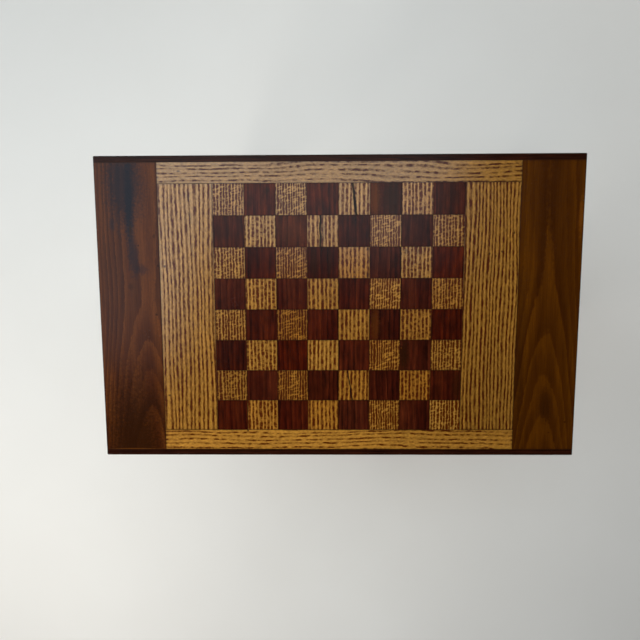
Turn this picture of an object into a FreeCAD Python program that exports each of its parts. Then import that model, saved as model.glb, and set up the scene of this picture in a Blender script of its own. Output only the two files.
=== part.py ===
import FreeCAD, Part
import os
from FreeCAD import Vector

# A games table. The top is a chequered board of oak and walnut squares set in oak, with a walnut board at
# each end and a thin walnut strip along each long side. It stands on four tapered walnut legs joined by
# aprons, and a shallow drawer for the men opens to the front.
# Millimetres. The origin is on the floor under the middle of the top. +X runs along the long sides to the
# right, +Y to the back, +Z up.

# Top, seen from above
SQUARE = 50.8  # side of one square
SQUARES_A_SIDE = 8
FLANK_WIDTH = 88.9  # oak board left and right of the squares
OAK_RAIL_WIDTH = 33.8  # oak rail behind and in front of the squares
END_BOARD_WIDTH = 101.6  # walnut board at each end
EDGE_STRIP_WIDTH = 10.4  # walnut strip over the end grain of each long side

# Top, through its thickness
FACING_THICKNESS = 6.5  # squares, flanks and oak rails
CORE_THICKNESS = 12.5  # plywood under the facing
TOP_EASING = 1.2  # bevel along the outer edges of the top
SPLINE_THICKNESS = 4.0  # loose tongue between the core and an end board
SPLINE_WIDTH = 20.0
SPLINE_END_MARGIN = 12.0  # from the tongue's end to the edge strip

# Legs and aprons
TABLE_HEIGHT = 711.2
OVERHANG = 32.0  # from the legs' outer faces to the edge of the top
LEG_WIDTH = 44.0
LEG_FOOT_WIDTH = 26.0
LEG_STRAIGHT = 25.0  # straight length below the aprons, before the taper
LEG_EASING = 2.0  # bevel along the corners
APRON_HEIGHT = 100.0
APRON_THICKNESS = 19.0
APRON_SETBACK = 4.0  # from the legs' outer faces to the aprons' faces
APRON_EASING = 1.5  # bevel along the lower edges
TENON_THICKNESS = 8.0
TENON_SHOULDER = 10.0  # above and below each tenon
TENON_SPACING = 1.5  # between the ends of the two tenons in a leg
GLUE_GAP = 0.1  # room for glue round tenons and tongues
MORTISE_SPARE_DEPTH = 0.5
GLIDE_HEIGHT = 6.0
GLIDE_RADIUS = 10.0
GLIDE_EASING = 2.0
GLIDE_NAIL_RADIUS = 1.5
GLIDE_NAIL_LENGTH = 15.0

# Braces glued across the corners of the frame
BRACE_THICKNESS = 20.0
BRACE_MARGIN = 20.0  # from the aprons' upper and lower edges
BRACE_LEG_GAP = 1.5  # between a brace and the corner of its leg

# Buttons that hold the top to the aprons, and the round-headed screws
BUTTON_LENGTH = 30.0
BUTTON_DEPTH = 30.0  # from the apron inwards
BUTTON_THICKNESS = 18.0
BUTTON_APRON_GAP = 2.0
BUTTON_SCREW_IN = 16.0  # from the apron to the screw
BUTTON_GROOVE_DROP = 7.0  # from the underside of the top
BUTTON_GROOVE_HEIGHT = 6.0
BUTTON_GROOVE_DEPTH = 8.0
BUTTON_TONGUE_SPARE = 1.5  # between the tongue's end and the bottom of its groove
SCREW_BITE = 9.0  # length of a screw in the piece that it holds on to
SCREW_RADIUS = 2.0
SCREW_HEAD_RADIUS = 4.0
SCREW_HEAD_HEIGHT = 2.4
SCREW_HOLE_GAP = 0.05

# Drawer opening, runners, guides and kickers
FRONT_TOP_RAIL_HEIGHT = 17.0
FRONT_BOTTOM_RAIL_HEIGHT = 18.0
RUNNER_THICKNESS = 16.0
RUNNER_LIP = 3.0  # runner beyond the inner face of the drawer's side
RUNNER_TENON_THICKNESS = 8.0
RUNNER_TENON_LENGTH = 8.0
RUNNER_TENON_INSET = 5.0  # from the runner's edges
GUIDE_WIDTH = 18.0
GUIDE_HEIGHT = 22.0
KICKER_GAP = 1.0  # between a kicker and the drawer's side below it
KICKER_END_GAP = 0.3
REAR_STOP_LENGTH = 20.0
REAR_STOP_HEIGHT = 12.0
BATTEN_LENGTH = 200.0  # block that the drawer's turn button comes up against
BATTEN_DEPTH = 45.0
BATTEN_THICKNESS = 18.0

# Drawer
DRAWER_WIDTH = 330.0
DRAWER_GAP = 1.2  # round the drawer's front
DRAWER_REAR_SPACE = 63.0  # between the drawer and the back apron
DRAWER_SIDE_THICKNESS = 11.0
DRAWER_SIDE_DROP = 7.5  # from the top of the opening to the sides' upper edges
DRAWER_BACK_DROP = 4.0  # from the sides' upper edges to the back's
DRAWER_BACK_INSET = 10.0  # from the sides' rear ends to the back
DRAWER_HOUSING_DEPTH = 4.0  # back let into the sides
DRAWER_BOTTOM_THICKNESS = 5.0
DRAWER_BOTTOM_RAISE = 8.0  # from the sides' lower edges to the bottom
DRAWER_GROOVE_DEPTH = 4.5
DRAWER_FRONT_EASING = 0.8
RUNNING_GAP = 0.3  # between the drawer and what it slides on or stops against
TAILS = 2  # dovetails at each end of the drawer's front
TAIL_ROOT_WIDTH = 14.0
TAIL_SLOPE = 1.0 / 6.0
TAIL_LAP = 6.0  # wood of the front that covers the dovetails
DOVETAIL_GAP = 0.05
BOTTOM_SCREW_X = 110.0
KNOB_WIDTH = 26.0  # square head of the knob
KNOB_PROJECTION = 23.5
KNOB_BASE_WIDTH = 17.0
KNOB_NECK_WIDTH = 12.0
KNOB_NECK_OUT = 7.0  # from the drawer's front to the neck, and so on outwards
KNOB_HEAD_OUT = 13.0
KNOB_RIM_OUT = 18.5
KNOB_TIP_WIDTH = 2.0  # blunt point
KNOB_TENON_RADIUS = 5.0
KNOB_TENON_LENGTH = 15.0
KNOB_TENON_GAP = 0.05
TURN_BUTTON_WIDTH = 12.0
TURN_BUTTON_THICKNESS = 8.0
TURN_BUTTON_DROP = 10.0  # from the upper edge of the drawer's back to the pivot
TURN_BUTTON_CATCH = 8.0  # overlap with the batten
TURN_BUTTON_FIT = 0.08

# Lengths closer than this count as the same when edges are picked
SAME = 0.001

# Places worked out from the sizes above
BOARD_HALF = SQUARE * SQUARES_A_SIDE / 2
FIELD_X = BOARD_HALF + FLANK_WIDTH
FIELD_Y = BOARD_HALF + OAK_RAIL_WIDTH
TOP_X = FIELD_X + END_BOARD_WIDTH
TOP_Y = FIELD_Y + EDGE_STRIP_WIDTH
FACING_Z = TABLE_HEIGHT - FACING_THICKNESS
FRAME_TOP = FACING_Z - CORE_THICKNESS
FRAME_BOTTOM = FRAME_TOP - APRON_HEIGHT

LEG_X = TOP_X - OVERHANG
LEG_Y = TOP_Y - OVERHANG
SHOULDER_X = LEG_X - LEG_WIDTH
SHOULDER_Y = LEG_Y - LEG_WIDTH
APRON_X_OUT = LEG_X - APRON_SETBACK
APRON_Y_OUT = LEG_Y - APRON_SETBACK
APRON_X_IN = APRON_X_OUT - APRON_THICKNESS
APRON_Y_IN = APRON_Y_OUT - APRON_THICKNESS
TENON_X = (APRON_X_OUT + APRON_X_IN) / 2
TENON_Y = (APRON_Y_OUT + APRON_Y_IN) / 2
TENON_END_X = TENON_X - TENON_THICKNESS / 2 - TENON_SPACING
TENON_END_Y = TENON_Y - TENON_THICKNESS / 2 - TENON_SPACING
TENON_BOTTOM = FRAME_BOTTOM + TENON_SHOULDER
TENON_TOP = FRAME_TOP - TENON_SHOULDER

BRACE_OUTER = SHOULDER_X + SHOULDER_Y - BRACE_LEG_GAP * 2 ** 0.5
BRACE_INNER = BRACE_OUTER - BRACE_THICKNESS * 2 ** 0.5
BRACE_BOTTOM = FRAME_BOTTOM + BRACE_MARGIN
BRACE_HEIGHT = APRON_HEIGHT - 2 * BRACE_MARGIN
BUTTON_BOTTOM = FRAME_TOP - BUTTON_THICKNESS
BATTEN_BOTTOM = FRAME_TOP - BATTEN_THICKNESS

OPENING_TOP = FRAME_TOP - FRONT_TOP_RAIL_HEIGHT
OPENING_BOTTOM = FRAME_BOTTOM + FRONT_BOTTOM_RAIL_HEIGHT
DRAWER_X = DRAWER_WIDTH / 2
OPENING_X = DRAWER_X + DRAWER_GAP
SIDE_X_IN = DRAWER_X - DRAWER_SIDE_THICKNESS
RUNNER_X_IN = SIDE_X_IN - RUNNER_LIP
GUIDE_X_OUT = OPENING_X + GUIDE_WIDTH
SIDE_BOTTOM = OPENING_BOTTOM + RUNNING_GAP
SIDE_TOP = OPENING_TOP - DRAWER_SIDE_DROP
SIDE_REAR = APRON_Y_IN - DRAWER_REAR_SPACE
DRAWER_BACK_REAR = SIDE_REAR - DRAWER_BACK_INSET
DRAWER_BACK_FRONT = DRAWER_BACK_REAR - DRAWER_SIDE_THICKNESS
DRAWER_BACK_TOP = SIDE_TOP - DRAWER_BACK_DROP
DRAWER_FLOOR_BOTTOM = SIDE_BOTTOM + DRAWER_BOTTOM_RAISE
DRAWER_FLOOR_TOP = DRAWER_FLOOR_BOTTOM + DRAWER_BOTTOM_THICKNESS
KICKER_BOTTOM = SIDE_TOP + KICKER_GAP
KNOB_Z = (OPENING_TOP + OPENING_BOTTOM) / 2
BATTEN_REAR = BATTEN_DEPTH - APRON_Y_IN
TURN_BUTTON_Z = DRAWER_BACK_TOP - TURN_BUTTON_DROP
TURN_BUTTON_TOP = BATTEN_BOTTOM + TURN_BUTTON_CATCH
TURN_BUTTON_REAR = DRAWER_BACK_FRONT - RUNNING_GAP
TURN_BUTTON_FRONT = TURN_BUTTON_REAR - TURN_BUTTON_THICKNESS
DRAWER_TRAVEL = TURN_BUTTON_FRONT - BATTEN_REAR - RUNNING_GAP
BOTTOM_SCREW_LENGTH = DRAWER_BOTTOM_THICKNESS + SCREW_BITE
PIVOT_SCREW_LENGTH = TURN_BUTTON_THICKNESS + SCREW_BITE

BUTTON_X = (GUIDE_X_OUT + BRACE_INNER - APRON_Y_IN) / 2

# Each button's place on the inner face of an apron, with the turn from +X to the way it points inwards
BUTTON_SEATS = [(APRON_X_IN, 0, 180), (-APRON_X_IN, 0, 0)]
for side in (-1, 1):
    BUTTON_SEATS.append((side * BUTTON_X, APRON_Y_IN, -90))
    BUTTON_SEATS.append((side * BUTTON_X, -APRON_Y_IN, 90))


def block(x0, x1, y0, y1, z0, z1):
    """Square-edged piece between two opposite corners."""
    return Part.makeBox(x1 - x0, y1 - y0, z1 - z0, Vector(x0, y0, z0))


def prism(points, direction):
    """Flat outline with straight sides, pushed out along a direction."""
    return Part.Face(Part.makePolygon(points + points[:1])).extrude(direction)


def eased(shape, size, wanted):
    """Bevels the edges whose middle point passes the test."""
    return shape.makeChamfer(size, [edge for edge in shape.Edges if wanted(edge.CenterOfMass)])


def near(a, b):
    """True where two measures are the same, for picking edges."""
    return abs(a - b) < SAME


def mirrored(shape):
    """The same piece on the other side of the table, left for right."""
    return shape.mirror(Vector(0, 0, 0), Vector(1, 0, 0))


def aimed(shape, position, direction):
    """Moves a piece that points down at the origin to a place, pointing along a direction."""
    copy = shape.copy()
    copy.Placement = FreeCAD.Placement(position, FreeCAD.Rotation(Vector(0, 0, -1), direction))
    return copy


def turned(shape, x, y, angle):
    """Turns a piece about the upright axis and moves it across to a place."""
    copy = shape.copy()
    copy.Placement = FreeCAD.Placement(Vector(x, y, 0), FreeCAD.Rotation(Vector(0, 0, 1), angle))
    return copy


def screw(length):
    """Round-headed screw that points down, with the underside of its head at the origin."""
    head = Part.makeCylinder(SCREW_HEAD_RADIUS, SCREW_HEAD_HEIGHT)
    shank = Part.makeCylinder(SCREW_RADIUS, length, Vector(0, 0, 0), Vector(0, 0, -1))
    return head.fuse(shank)


def screw_hole(length, gap=SCREW_HOLE_GAP):
    """Hole for a screw's shank."""
    return Part.makeCylinder(SCREW_RADIUS + gap, length + gap, Vector(0, 0, 0), Vector(0, 0, -1))


def button_screw_point(seat):
    """Place under the screw's head in the button on one seat."""
    x, y, angle = seat
    inwards = FreeCAD.Rotation(Vector(0, 0, 1), angle).multVec(Vector(BUTTON_SCREW_IN, 0, 0))
    return Vector(x, y, BUTTON_BOTTOM) + inwards


def drilled_for_buttons(shape, seats):
    """Drills a piece for the screws that go up through the buttons into the top."""
    hole = screw_hole(BUTTON_THICKNESS + SCREW_BITE)
    for seat in seats:
        shape = shape.cut(aimed(hole, button_screw_point(seat), Vector(0, 0, 1)))
    return shape


def squares(oak):
    """The oak or the walnut squares: the back left corner is oak, and the two woods take turns."""
    pieces = []
    for column in range(SQUARES_A_SIDE):
        for row in range(SQUARES_A_SIDE):
            if ((column + row) % 2 == 0) != oak:
                continue
            x = column * SQUARE - BOARD_HALF
            y = BOARD_HALF - row * SQUARE
            pieces.append(block(x, x + SQUARE, y - SQUARE, y, FACING_Z, TABLE_HEIGHT))
    return Part.makeCompound(pieces)


def flank_board():
    """Oak board to the right of the squares."""
    return block(BOARD_HALF, FIELD_X, -BOARD_HALF, BOARD_HALF, FACING_Z, TABLE_HEIGHT)


def oak_rail():
    """Oak rail behind the squares and the flanks."""
    return block(-FIELD_X, FIELD_X, BOARD_HALF, FIELD_Y, FACING_Z, TABLE_HEIGHT)


def spline(gap=0.0):
    """Loose tongue between the core and the right end board, or with a gap, its two grooves."""
    middle = (FACING_Z + FRAME_TOP) / 2
    reach_x = SPLINE_WIDTH / 2 + gap
    reach_y = FIELD_Y - SPLINE_END_MARGIN + gap
    reach_z = SPLINE_THICKNESS / 2 + gap
    return block(FIELD_X - reach_x, FIELD_X + reach_x, -reach_y, reach_y, middle - reach_z, middle + reach_z)


def core_panel():
    """Plywood core, grooved at both ends and drilled from below for the screws."""
    panel = block(-FIELD_X, FIELD_X, -FIELD_Y, FIELD_Y, FRAME_TOP, FACING_Z)
    groove = spline(GLUE_GAP)
    panel = panel.cut(groove).cut(mirrored(groove))
    return drilled_for_buttons(panel, BUTTON_SEATS)


def end_board():
    """Right end board, eased along its outer end, grooved for the tongue and drilled for its button."""
    board = block(FIELD_X, TOP_X, -FIELD_Y, FIELD_Y, FRAME_TOP, TABLE_HEIGHT)
    board = eased(board, TOP_EASING, lambda p: near(p.x, TOP_X) and near(p.y, 0))
    return drilled_for_buttons(board.cut(spline(GLUE_GAP)), BUTTON_SEATS)


def edge_strip():
    """Strip along the back, eased on its outer edges and its ends."""

    def outside(p):
        flat = near(p.z, TABLE_HEIGHT) or near(p.z, FRAME_TOP)
        return (flat and not near(p.y, FIELD_Y)) or (near(p.y, TOP_Y) and near(abs(p.x), TOP_X))

    strip = block(-TOP_X, TOP_X, FIELD_Y, TOP_Y, FRAME_TOP, TABLE_HEIGHT)
    return eased(strip, TOP_EASING, outside)


def long_apron():
    """Back apron with a tenon at each end and a groove inside for the buttons."""
    board = block(-SHOULDER_X, SHOULDER_X, APRON_Y_IN, APRON_Y_OUT, FRAME_BOTTOM, FRAME_TOP)
    board = eased(board, APRON_EASING, lambda p: near(p.z, FRAME_BOTTOM) and near(p.x, 0))
    y0 = TENON_Y - TENON_THICKNESS / 2
    board = board.fuse(block(-TENON_END_X, TENON_END_X, y0, y0 + TENON_THICKNESS, TENON_BOTTOM, TENON_TOP))
    groove_top = FRAME_TOP - BUTTON_GROOVE_DROP
    groove = block(
        -SHOULDER_X,
        SHOULDER_X,
        APRON_Y_IN,
        APRON_Y_IN + BUTTON_GROOVE_DEPTH,
        groove_top - BUTTON_GROOVE_HEIGHT,
        groove_top,
    )
    return board.cut(groove).removeSplitter()


def side_apron():
    """Right apron with a tenon at each end and a groove inside for the buttons."""
    board = block(APRON_X_IN, APRON_X_OUT, -SHOULDER_Y, SHOULDER_Y, FRAME_BOTTOM, FRAME_TOP)
    board = eased(board, APRON_EASING, lambda p: near(p.z, FRAME_BOTTOM) and near(p.y, 0))
    x0 = TENON_X - TENON_THICKNESS / 2
    board = board.fuse(block(x0, x0 + TENON_THICKNESS, -TENON_END_Y, TENON_END_Y, TENON_BOTTOM, TENON_TOP))
    groove_top = FRAME_TOP - BUTTON_GROOVE_DROP
    groove = block(
        APRON_X_IN,
        APRON_X_IN + BUTTON_GROOVE_DEPTH,
        -SHOULDER_Y,
        SHOULDER_Y,
        groove_top - BUTTON_GROOVE_HEIGHT,
        groove_top,
    )
    return board.cut(groove).removeSplitter()


def back_apron():
    """Back apron, mortised for the drawer's runners."""
    mortise = runner_tenon(GLUE_GAP)
    return long_apron().cut(mortise).cut(mirrored(mortise))


def front_apron_pieces():
    """The front apron: a rail above the drawer, a rail below it, and a block at each side of it."""
    board = back_apron().mirror(Vector(0, 0, 0), Vector(0, 1, 0))

    def part_of_board(x0, x1, z0, z1):
        return board.common(block(x0, x1, -APRON_Y_OUT, -APRON_Y_IN, z0, z1))

    return {
        "front_top_rail": part_of_board(-TENON_END_X, TENON_END_X, OPENING_TOP, FRAME_TOP),
        "front_bottom_rail": part_of_board(-TENON_END_X, TENON_END_X, FRAME_BOTTOM, OPENING_BOTTOM),
        "front_apron_right": part_of_board(OPENING_X, TENON_END_X, OPENING_BOTTOM, OPENING_TOP),
        "front_apron_left": part_of_board(-TENON_END_X, -OPENING_X, OPENING_BOTTOM, OPENING_TOP),
    }


def leg_section(width, z):
    """Outline of the right back leg at one height: a square with cut corners, its outer faces in line."""
    half = width / 2
    flat = half - LEG_EASING
    corners = [(half, -flat), (half, flat), (flat, half), (-flat, half)]
    corners += [(-x, -y) for x, y in corners]
    points = [Vector(LEG_X - half + x, LEG_Y - half + y, z) for x, y in corners]
    return Part.makePolygon(points + points[:1])


def leg():
    """Right back leg: square where the aprons meet it, and tapered below on its two inner faces."""
    taper_top = FRAME_BOTTOM - LEG_STRAIGHT
    square = leg_section(LEG_WIDTH, taper_top)
    post = Part.Face(square).extrude(Vector(0, 0, FRAME_TOP - taper_top))
    post = post.fuse(Part.makeLoft([leg_section(LEG_FOOT_WIDTH, GLIDE_HEIGHT), square], True, True))
    reach = TENON_THICKNESS / 2 + GLUE_GAP
    low = TENON_BOTTOM - GLUE_GAP
    high = TENON_TOP + GLUE_GAP
    end_x = TENON_END_X + MORTISE_SPARE_DEPTH
    end_y = TENON_END_Y + MORTISE_SPARE_DEPTH
    post = post.cut(block(SHOULDER_X, end_x, TENON_Y - reach, TENON_Y + reach, low, high))
    post = post.cut(block(TENON_X - reach, TENON_X + reach, SHOULDER_Y, end_y, low, high))
    return post.cut(glide_nail(SCREW_HOLE_GAP))


def glide_place(shape):
    """Moves a piece from the origin to the middle of the right back foot."""
    return turned(shape, LEG_X - LEG_FOOT_WIDTH / 2, LEG_Y - LEG_FOOT_WIDTH / 2, 0)


def glide_nail(gap=0.0):
    """Nail of the right back glide, or with a gap, its hole in the leg."""
    nail = Part.makeCylinder(GLIDE_NAIL_RADIUS + gap, GLIDE_NAIL_LENGTH + gap, Vector(0, 0, GLIDE_HEIGHT))
    return glide_place(nail)


def glide():
    """Foot under the right back leg: a round pad with an eased rim, and its nail."""
    pad = Part.makeCylinder(GLIDE_RADIUS, GLIDE_HEIGHT)
    pad = eased(pad, GLIDE_EASING, lambda p: near(p.z, 0))
    return glide_place(pad).fuse(glide_nail())


def brace():
    """Brace glued across the right back corner, clear of the leg."""
    points = [
        Vector(BRACE_OUTER - APRON_Y_IN, APRON_Y_IN, BRACE_BOTTOM),
        Vector(BRACE_INNER - APRON_Y_IN, APRON_Y_IN, BRACE_BOTTOM),
        Vector(APRON_X_IN, BRACE_INNER - APRON_X_IN, BRACE_BOTTOM),
        Vector(APRON_X_IN, BRACE_OUTER - APRON_X_IN, BRACE_BOTTOM),
    ]
    return prism(points, Vector(0, 0, BRACE_HEIGHT))


def four_corners(shape):
    """A piece of the right back corner, with its copies in the other three corners."""
    right_front = shape.mirror(Vector(0, 0, 0), Vector(0, 1, 0))
    return [shape, mirrored(shape), right_front, mirrored(right_front)]


def top_button(seat):
    """Button that hooks a tongue into an apron's groove and is screwed up under the top."""
    tongue_top = FRAME_TOP - BUTTON_GROOVE_DROP - GLUE_GAP
    tongue_bottom = tongue_top - BUTTON_GROOVE_HEIGHT + 2 * GLUE_GAP
    tongue_end = BUTTON_TONGUE_SPARE - BUTTON_GROOVE_DEPTH
    outline = [
        (tongue_end, tongue_bottom),
        (BUTTON_APRON_GAP, tongue_bottom),
        (BUTTON_APRON_GAP, BUTTON_BOTTOM),
        (BUTTON_DEPTH, BUTTON_BOTTOM),
        (BUTTON_DEPTH, FRAME_TOP),
        (BUTTON_APRON_GAP, FRAME_TOP),
        (BUTTON_APRON_GAP, tongue_top),
        (tongue_end, tongue_top),
    ]
    piece = prism([Vector(u, -BUTTON_LENGTH / 2, z) for u, z in outline], Vector(0, BUTTON_LENGTH, 0))
    return drilled_for_buttons(turned(piece, *seat), [seat])


def top_screws():
    """The screws that go up through the buttons into the top."""
    steel = screw(BUTTON_THICKNESS + SCREW_BITE)
    points = [button_screw_point(seat) for seat in BUTTON_SEATS]
    return Part.makeCompound([aimed(steel, point, Vector(0, 0, 1)) for point in points])


def runner_tenon(gap=0.0):
    """The tenon at the back end of the right runner, or with a gap, its mortise."""
    middle = OPENING_BOTTOM - RUNNER_THICKNESS / 2
    reach = RUNNER_TENON_THICKNESS / 2 + gap
    return block(
        RUNNER_X_IN + RUNNER_TENON_INSET - gap,
        GUIDE_X_OUT - RUNNER_TENON_INSET + gap,
        APRON_Y_IN,
        APRON_Y_IN + RUNNER_TENON_LENGTH + gap,
        middle - reach,
        middle + reach,
    )


def runner():
    """Right runner, level with the bottom of the opening, tenoned into both long aprons."""
    bar = block(
        RUNNER_X_IN, GUIDE_X_OUT, -APRON_Y_IN, APRON_Y_IN, OPENING_BOTTOM - RUNNER_THICKNESS, OPENING_BOTTOM
    )
    tenon = runner_tenon()
    bar = bar.fuse(tenon).fuse(tenon.mirror(Vector(0, 0, 0), Vector(0, 1, 0)))
    return bar.removeSplitter()


def guide():
    """Strip on the right runner that keeps the drawer straight."""
    return block(
        OPENING_X, GUIDE_X_OUT, -APRON_Y_IN, APRON_Y_IN, OPENING_BOTTOM, OPENING_BOTTOM + GUIDE_HEIGHT
    )


def kicker():
    """Strip glued under the top that keeps the drawer level when it is pulled out, on the right."""
    reach = APRON_Y_IN - KICKER_END_GAP
    return block(RUNNER_X_IN, GUIDE_X_OUT, -reach, reach, KICKER_BOTTOM, FRAME_TOP)


def rear_stop():
    """Block at the end of the right runner that the closed drawer stops against."""
    y0 = SIDE_REAR + RUNNING_GAP
    return block(
        RUNNER_X_IN, OPENING_X, y0, y0 + REAR_STOP_LENGTH, OPENING_BOTTOM, OPENING_BOTTOM + REAR_STOP_HEIGHT
    )


def stop_batten():
    """Block glued behind the rail above the drawer, which the turn button comes up against."""
    reach = BATTEN_LENGTH / 2
    return block(-reach, reach, -APRON_Y_IN, BATTEN_REAR, BATTEN_BOTTOM, FRAME_TOP)


def tails(gap=0.0):
    """The dovetails on the front end of the drawer's right side, or with a gap, their sockets."""
    root = -APRON_Y_IN
    tip = TAIL_LAP - APRON_Y_OUT - gap
    spacing = (SIDE_TOP - SIDE_BOTTOM) / TAILS
    pieces = []
    for number in range(TAILS):
        middle = SIDE_BOTTOM + spacing * (number + 0.5)
        half_root = TAIL_ROOT_WIDTH / 2 + gap
        half_tip = half_root + TAIL_SLOPE * (root - tip)
        points = [
            Vector(SIDE_X_IN - gap, root, middle - half_root),
            Vector(SIDE_X_IN - gap, tip, middle - half_tip),
            Vector(SIDE_X_IN - gap, tip, middle + half_tip),
            Vector(SIDE_X_IN - gap, root, middle + half_root),
        ]
        pieces.append(prism(points, Vector(DRAWER_SIDE_THICKNESS + gap, 0, 0)))
    return pieces


def drawer_floor(gap=0.0):
    """Plywood bottom of the drawer, or with a gap, the grooves that it slides into."""
    reach = SIDE_X_IN + DRAWER_GROOVE_DEPTH - GLUE_GAP + gap
    front = -APRON_Y_IN - DRAWER_GROOVE_DEPTH + GLUE_GAP - gap
    rear = SIDE_REAR if gap else DRAWER_BACK_REAR
    return block(-reach, reach, front, rear, DRAWER_FLOOR_BOTTOM - gap, DRAWER_FLOOR_TOP + gap)


def drawer_side():
    """Right side of the drawer, dovetailed in front, grooved for the bottom and housed for the back."""
    board = block(SIDE_X_IN, DRAWER_X, -APRON_Y_IN, SIDE_REAR, SIDE_BOTTOM, SIDE_TOP)
    for tail in tails():
        board = board.fuse(tail)
    board = board.removeSplitter()
    return board.cut(drawer_floor(GLUE_GAP)).cut(drawer_back_board(GLUE_GAP))


def drawer_front():
    """Front of the drawer, level with the apron, with sockets, a groove and the knob's hole."""
    board = block(
        -DRAWER_X,
        DRAWER_X,
        -APRON_Y_OUT,
        -APRON_Y_IN,
        OPENING_BOTTOM + DRAWER_GAP,
        OPENING_TOP - DRAWER_GAP,
    )
    board = eased(board, DRAWER_FRONT_EASING, lambda p: near(p.y, -APRON_Y_OUT))
    for socket in tails(DOVETAIL_GAP):
        board = board.cut(socket).cut(mirrored(socket))
    board = board.cut(drawer_floor(GLUE_GAP))
    hole = Part.makeCylinder(KNOB_TENON_RADIUS + KNOB_TENON_GAP, KNOB_TENON_LENGTH + KNOB_TENON_GAP)
    return board.cut(aimed(hole, Vector(0, -APRON_Y_OUT, KNOB_Z), Vector(0, -1, 0)))


def drawer_back_board(gap=0.0):
    """Back of the drawer before it is drilled, or with a gap, the housings in the two sides."""
    reach = SIDE_X_IN + DRAWER_HOUSING_DEPTH - GLUE_GAP + gap
    top = SIDE_TOP if gap else DRAWER_BACK_TOP
    bottom = DRAWER_FLOOR_TOP if gap else DRAWER_FLOOR_TOP + GLUE_GAP
    return block(-reach, reach, DRAWER_BACK_FRONT - gap, DRAWER_BACK_REAR + gap, bottom, top)


def bottom_screws(shape):
    """Copies of a screw, or of its hole, up through the drawer's bottom into its back."""
    middle = (DRAWER_BACK_FRONT + DRAWER_BACK_REAR) / 2
    points = [Vector(x, middle, DRAWER_FLOOR_BOTTOM) for x in (-BOTTOM_SCREW_X, BOTTOM_SCREW_X)]
    return Part.makeCompound([aimed(shape, point, Vector(0, 0, 1)) for point in points])


def at_pivot(shape):
    """Moves a screw, or its hole, to the pivot of the turn button."""
    return aimed(shape, Vector(0, TURN_BUTTON_FRONT - TURN_BUTTON_FIT, TURN_BUTTON_Z), Vector(0, 1, 0))


def drawer_bottom():
    """Plywood bottom of the drawer, drilled for its screws."""
    return drawer_floor().cut(bottom_screws(screw_hole(BOTTOM_SCREW_LENGTH)))


def drawer_back():
    """Back of the drawer, drilled for the bottom's screws and for the pivot screw."""
    board = drawer_back_board().cut(bottom_screws(screw_hole(BOTTOM_SCREW_LENGTH)))
    return board.cut(at_pivot(screw_hole(PIVOT_SCREW_LENGTH)))


def knob_stage(width, out, next_width, next_out):
    """Square stage of the knob, from one distance before the drawer's front to the next, along +Y."""
    a = width / 2
    b = next_width / 2
    return Part.makeWedge(-a, out, -a, -b, -b, a, next_out, a, b, b)


def drawer_knob():
    """Square knob: a round tenon, a waisted neck and a head with a low pyramid on it."""
    sections = [
        (KNOB_BASE_WIDTH, 0),
        (KNOB_NECK_WIDTH, KNOB_NECK_OUT),
        (KNOB_WIDTH, KNOB_HEAD_OUT),
        (KNOB_WIDTH, KNOB_RIM_OUT),
        (KNOB_TIP_WIDTH, KNOB_PROJECTION),
    ]
    knob = Part.makeCylinder(KNOB_TENON_RADIUS, KNOB_TENON_LENGTH, Vector(0, 0, 0), Vector(0, -1, 0))
    for section, outer_section in zip(sections, sections[1:]):
        knob = knob.fuse(knob_stage(*section, *outer_section))
    knob.Placement = FreeCAD.Placement(
        Vector(0, -APRON_Y_OUT, KNOB_Z), FreeCAD.Rotation(Vector(0, 0, 1), 180)
    )
    return knob


def turn_button():
    """Round-ended button on the drawer's back: upright, it keeps the drawer from coming right out."""
    radius = TURN_BUTTON_WIDTH / 2
    high = TURN_BUTTON_TOP - radius
    low = TURN_BUTTON_Z
    y = TURN_BUTTON_FRONT
    edges = [
        Part.LineSegment(Vector(radius, y, low), Vector(radius, y, high)),
        Part.Arc(Vector(radius, y, high), Vector(0, y, high + radius), Vector(-radius, y, high)),
        Part.LineSegment(Vector(-radius, y, high), Vector(-radius, y, low)),
        Part.Arc(Vector(-radius, y, low), Vector(0, y, low - radius), Vector(radius, y, low)),
    ]
    face = Part.Face(Part.Wire([edge.toShape() for edge in edges]))
    hole = at_pivot(screw_hole(PIVOT_SCREW_LENGTH, TURN_BUTTON_FIT))
    return face.extrude(Vector(0, TURN_BUTTON_THICKNESS, 0)).cut(hole)


def pair(name, right):
    """The left and the right piece of a pair, under their names."""
    return {name % "right": right, name % "left": mirrored(right)}


def pieces_of_top():
    """The top: facing, core, end boards, tongues and edge strips."""
    back_rail = oak_rail()
    back_strip = edge_strip()
    pieces = {
        "oak_squares": squares(True),
        "walnut_squares": squares(False),
        "back_oak_rail": back_rail,
        "front_oak_rail": back_rail.mirror(Vector(0, 0, 0), Vector(0, 1, 0)),
        "back_edge_strip": back_strip,
        "front_edge_strip": back_strip.mirror(Vector(0, 0, 0), Vector(0, 1, 0)),
        "core_panel": core_panel(),
    }
    pieces.update(pair("%s_flank_board", flank_board()))
    pieces.update(pair("%s_end_board", end_board()))
    pieces.update(pair("%s_spline", spline()))
    return pieces


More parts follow.
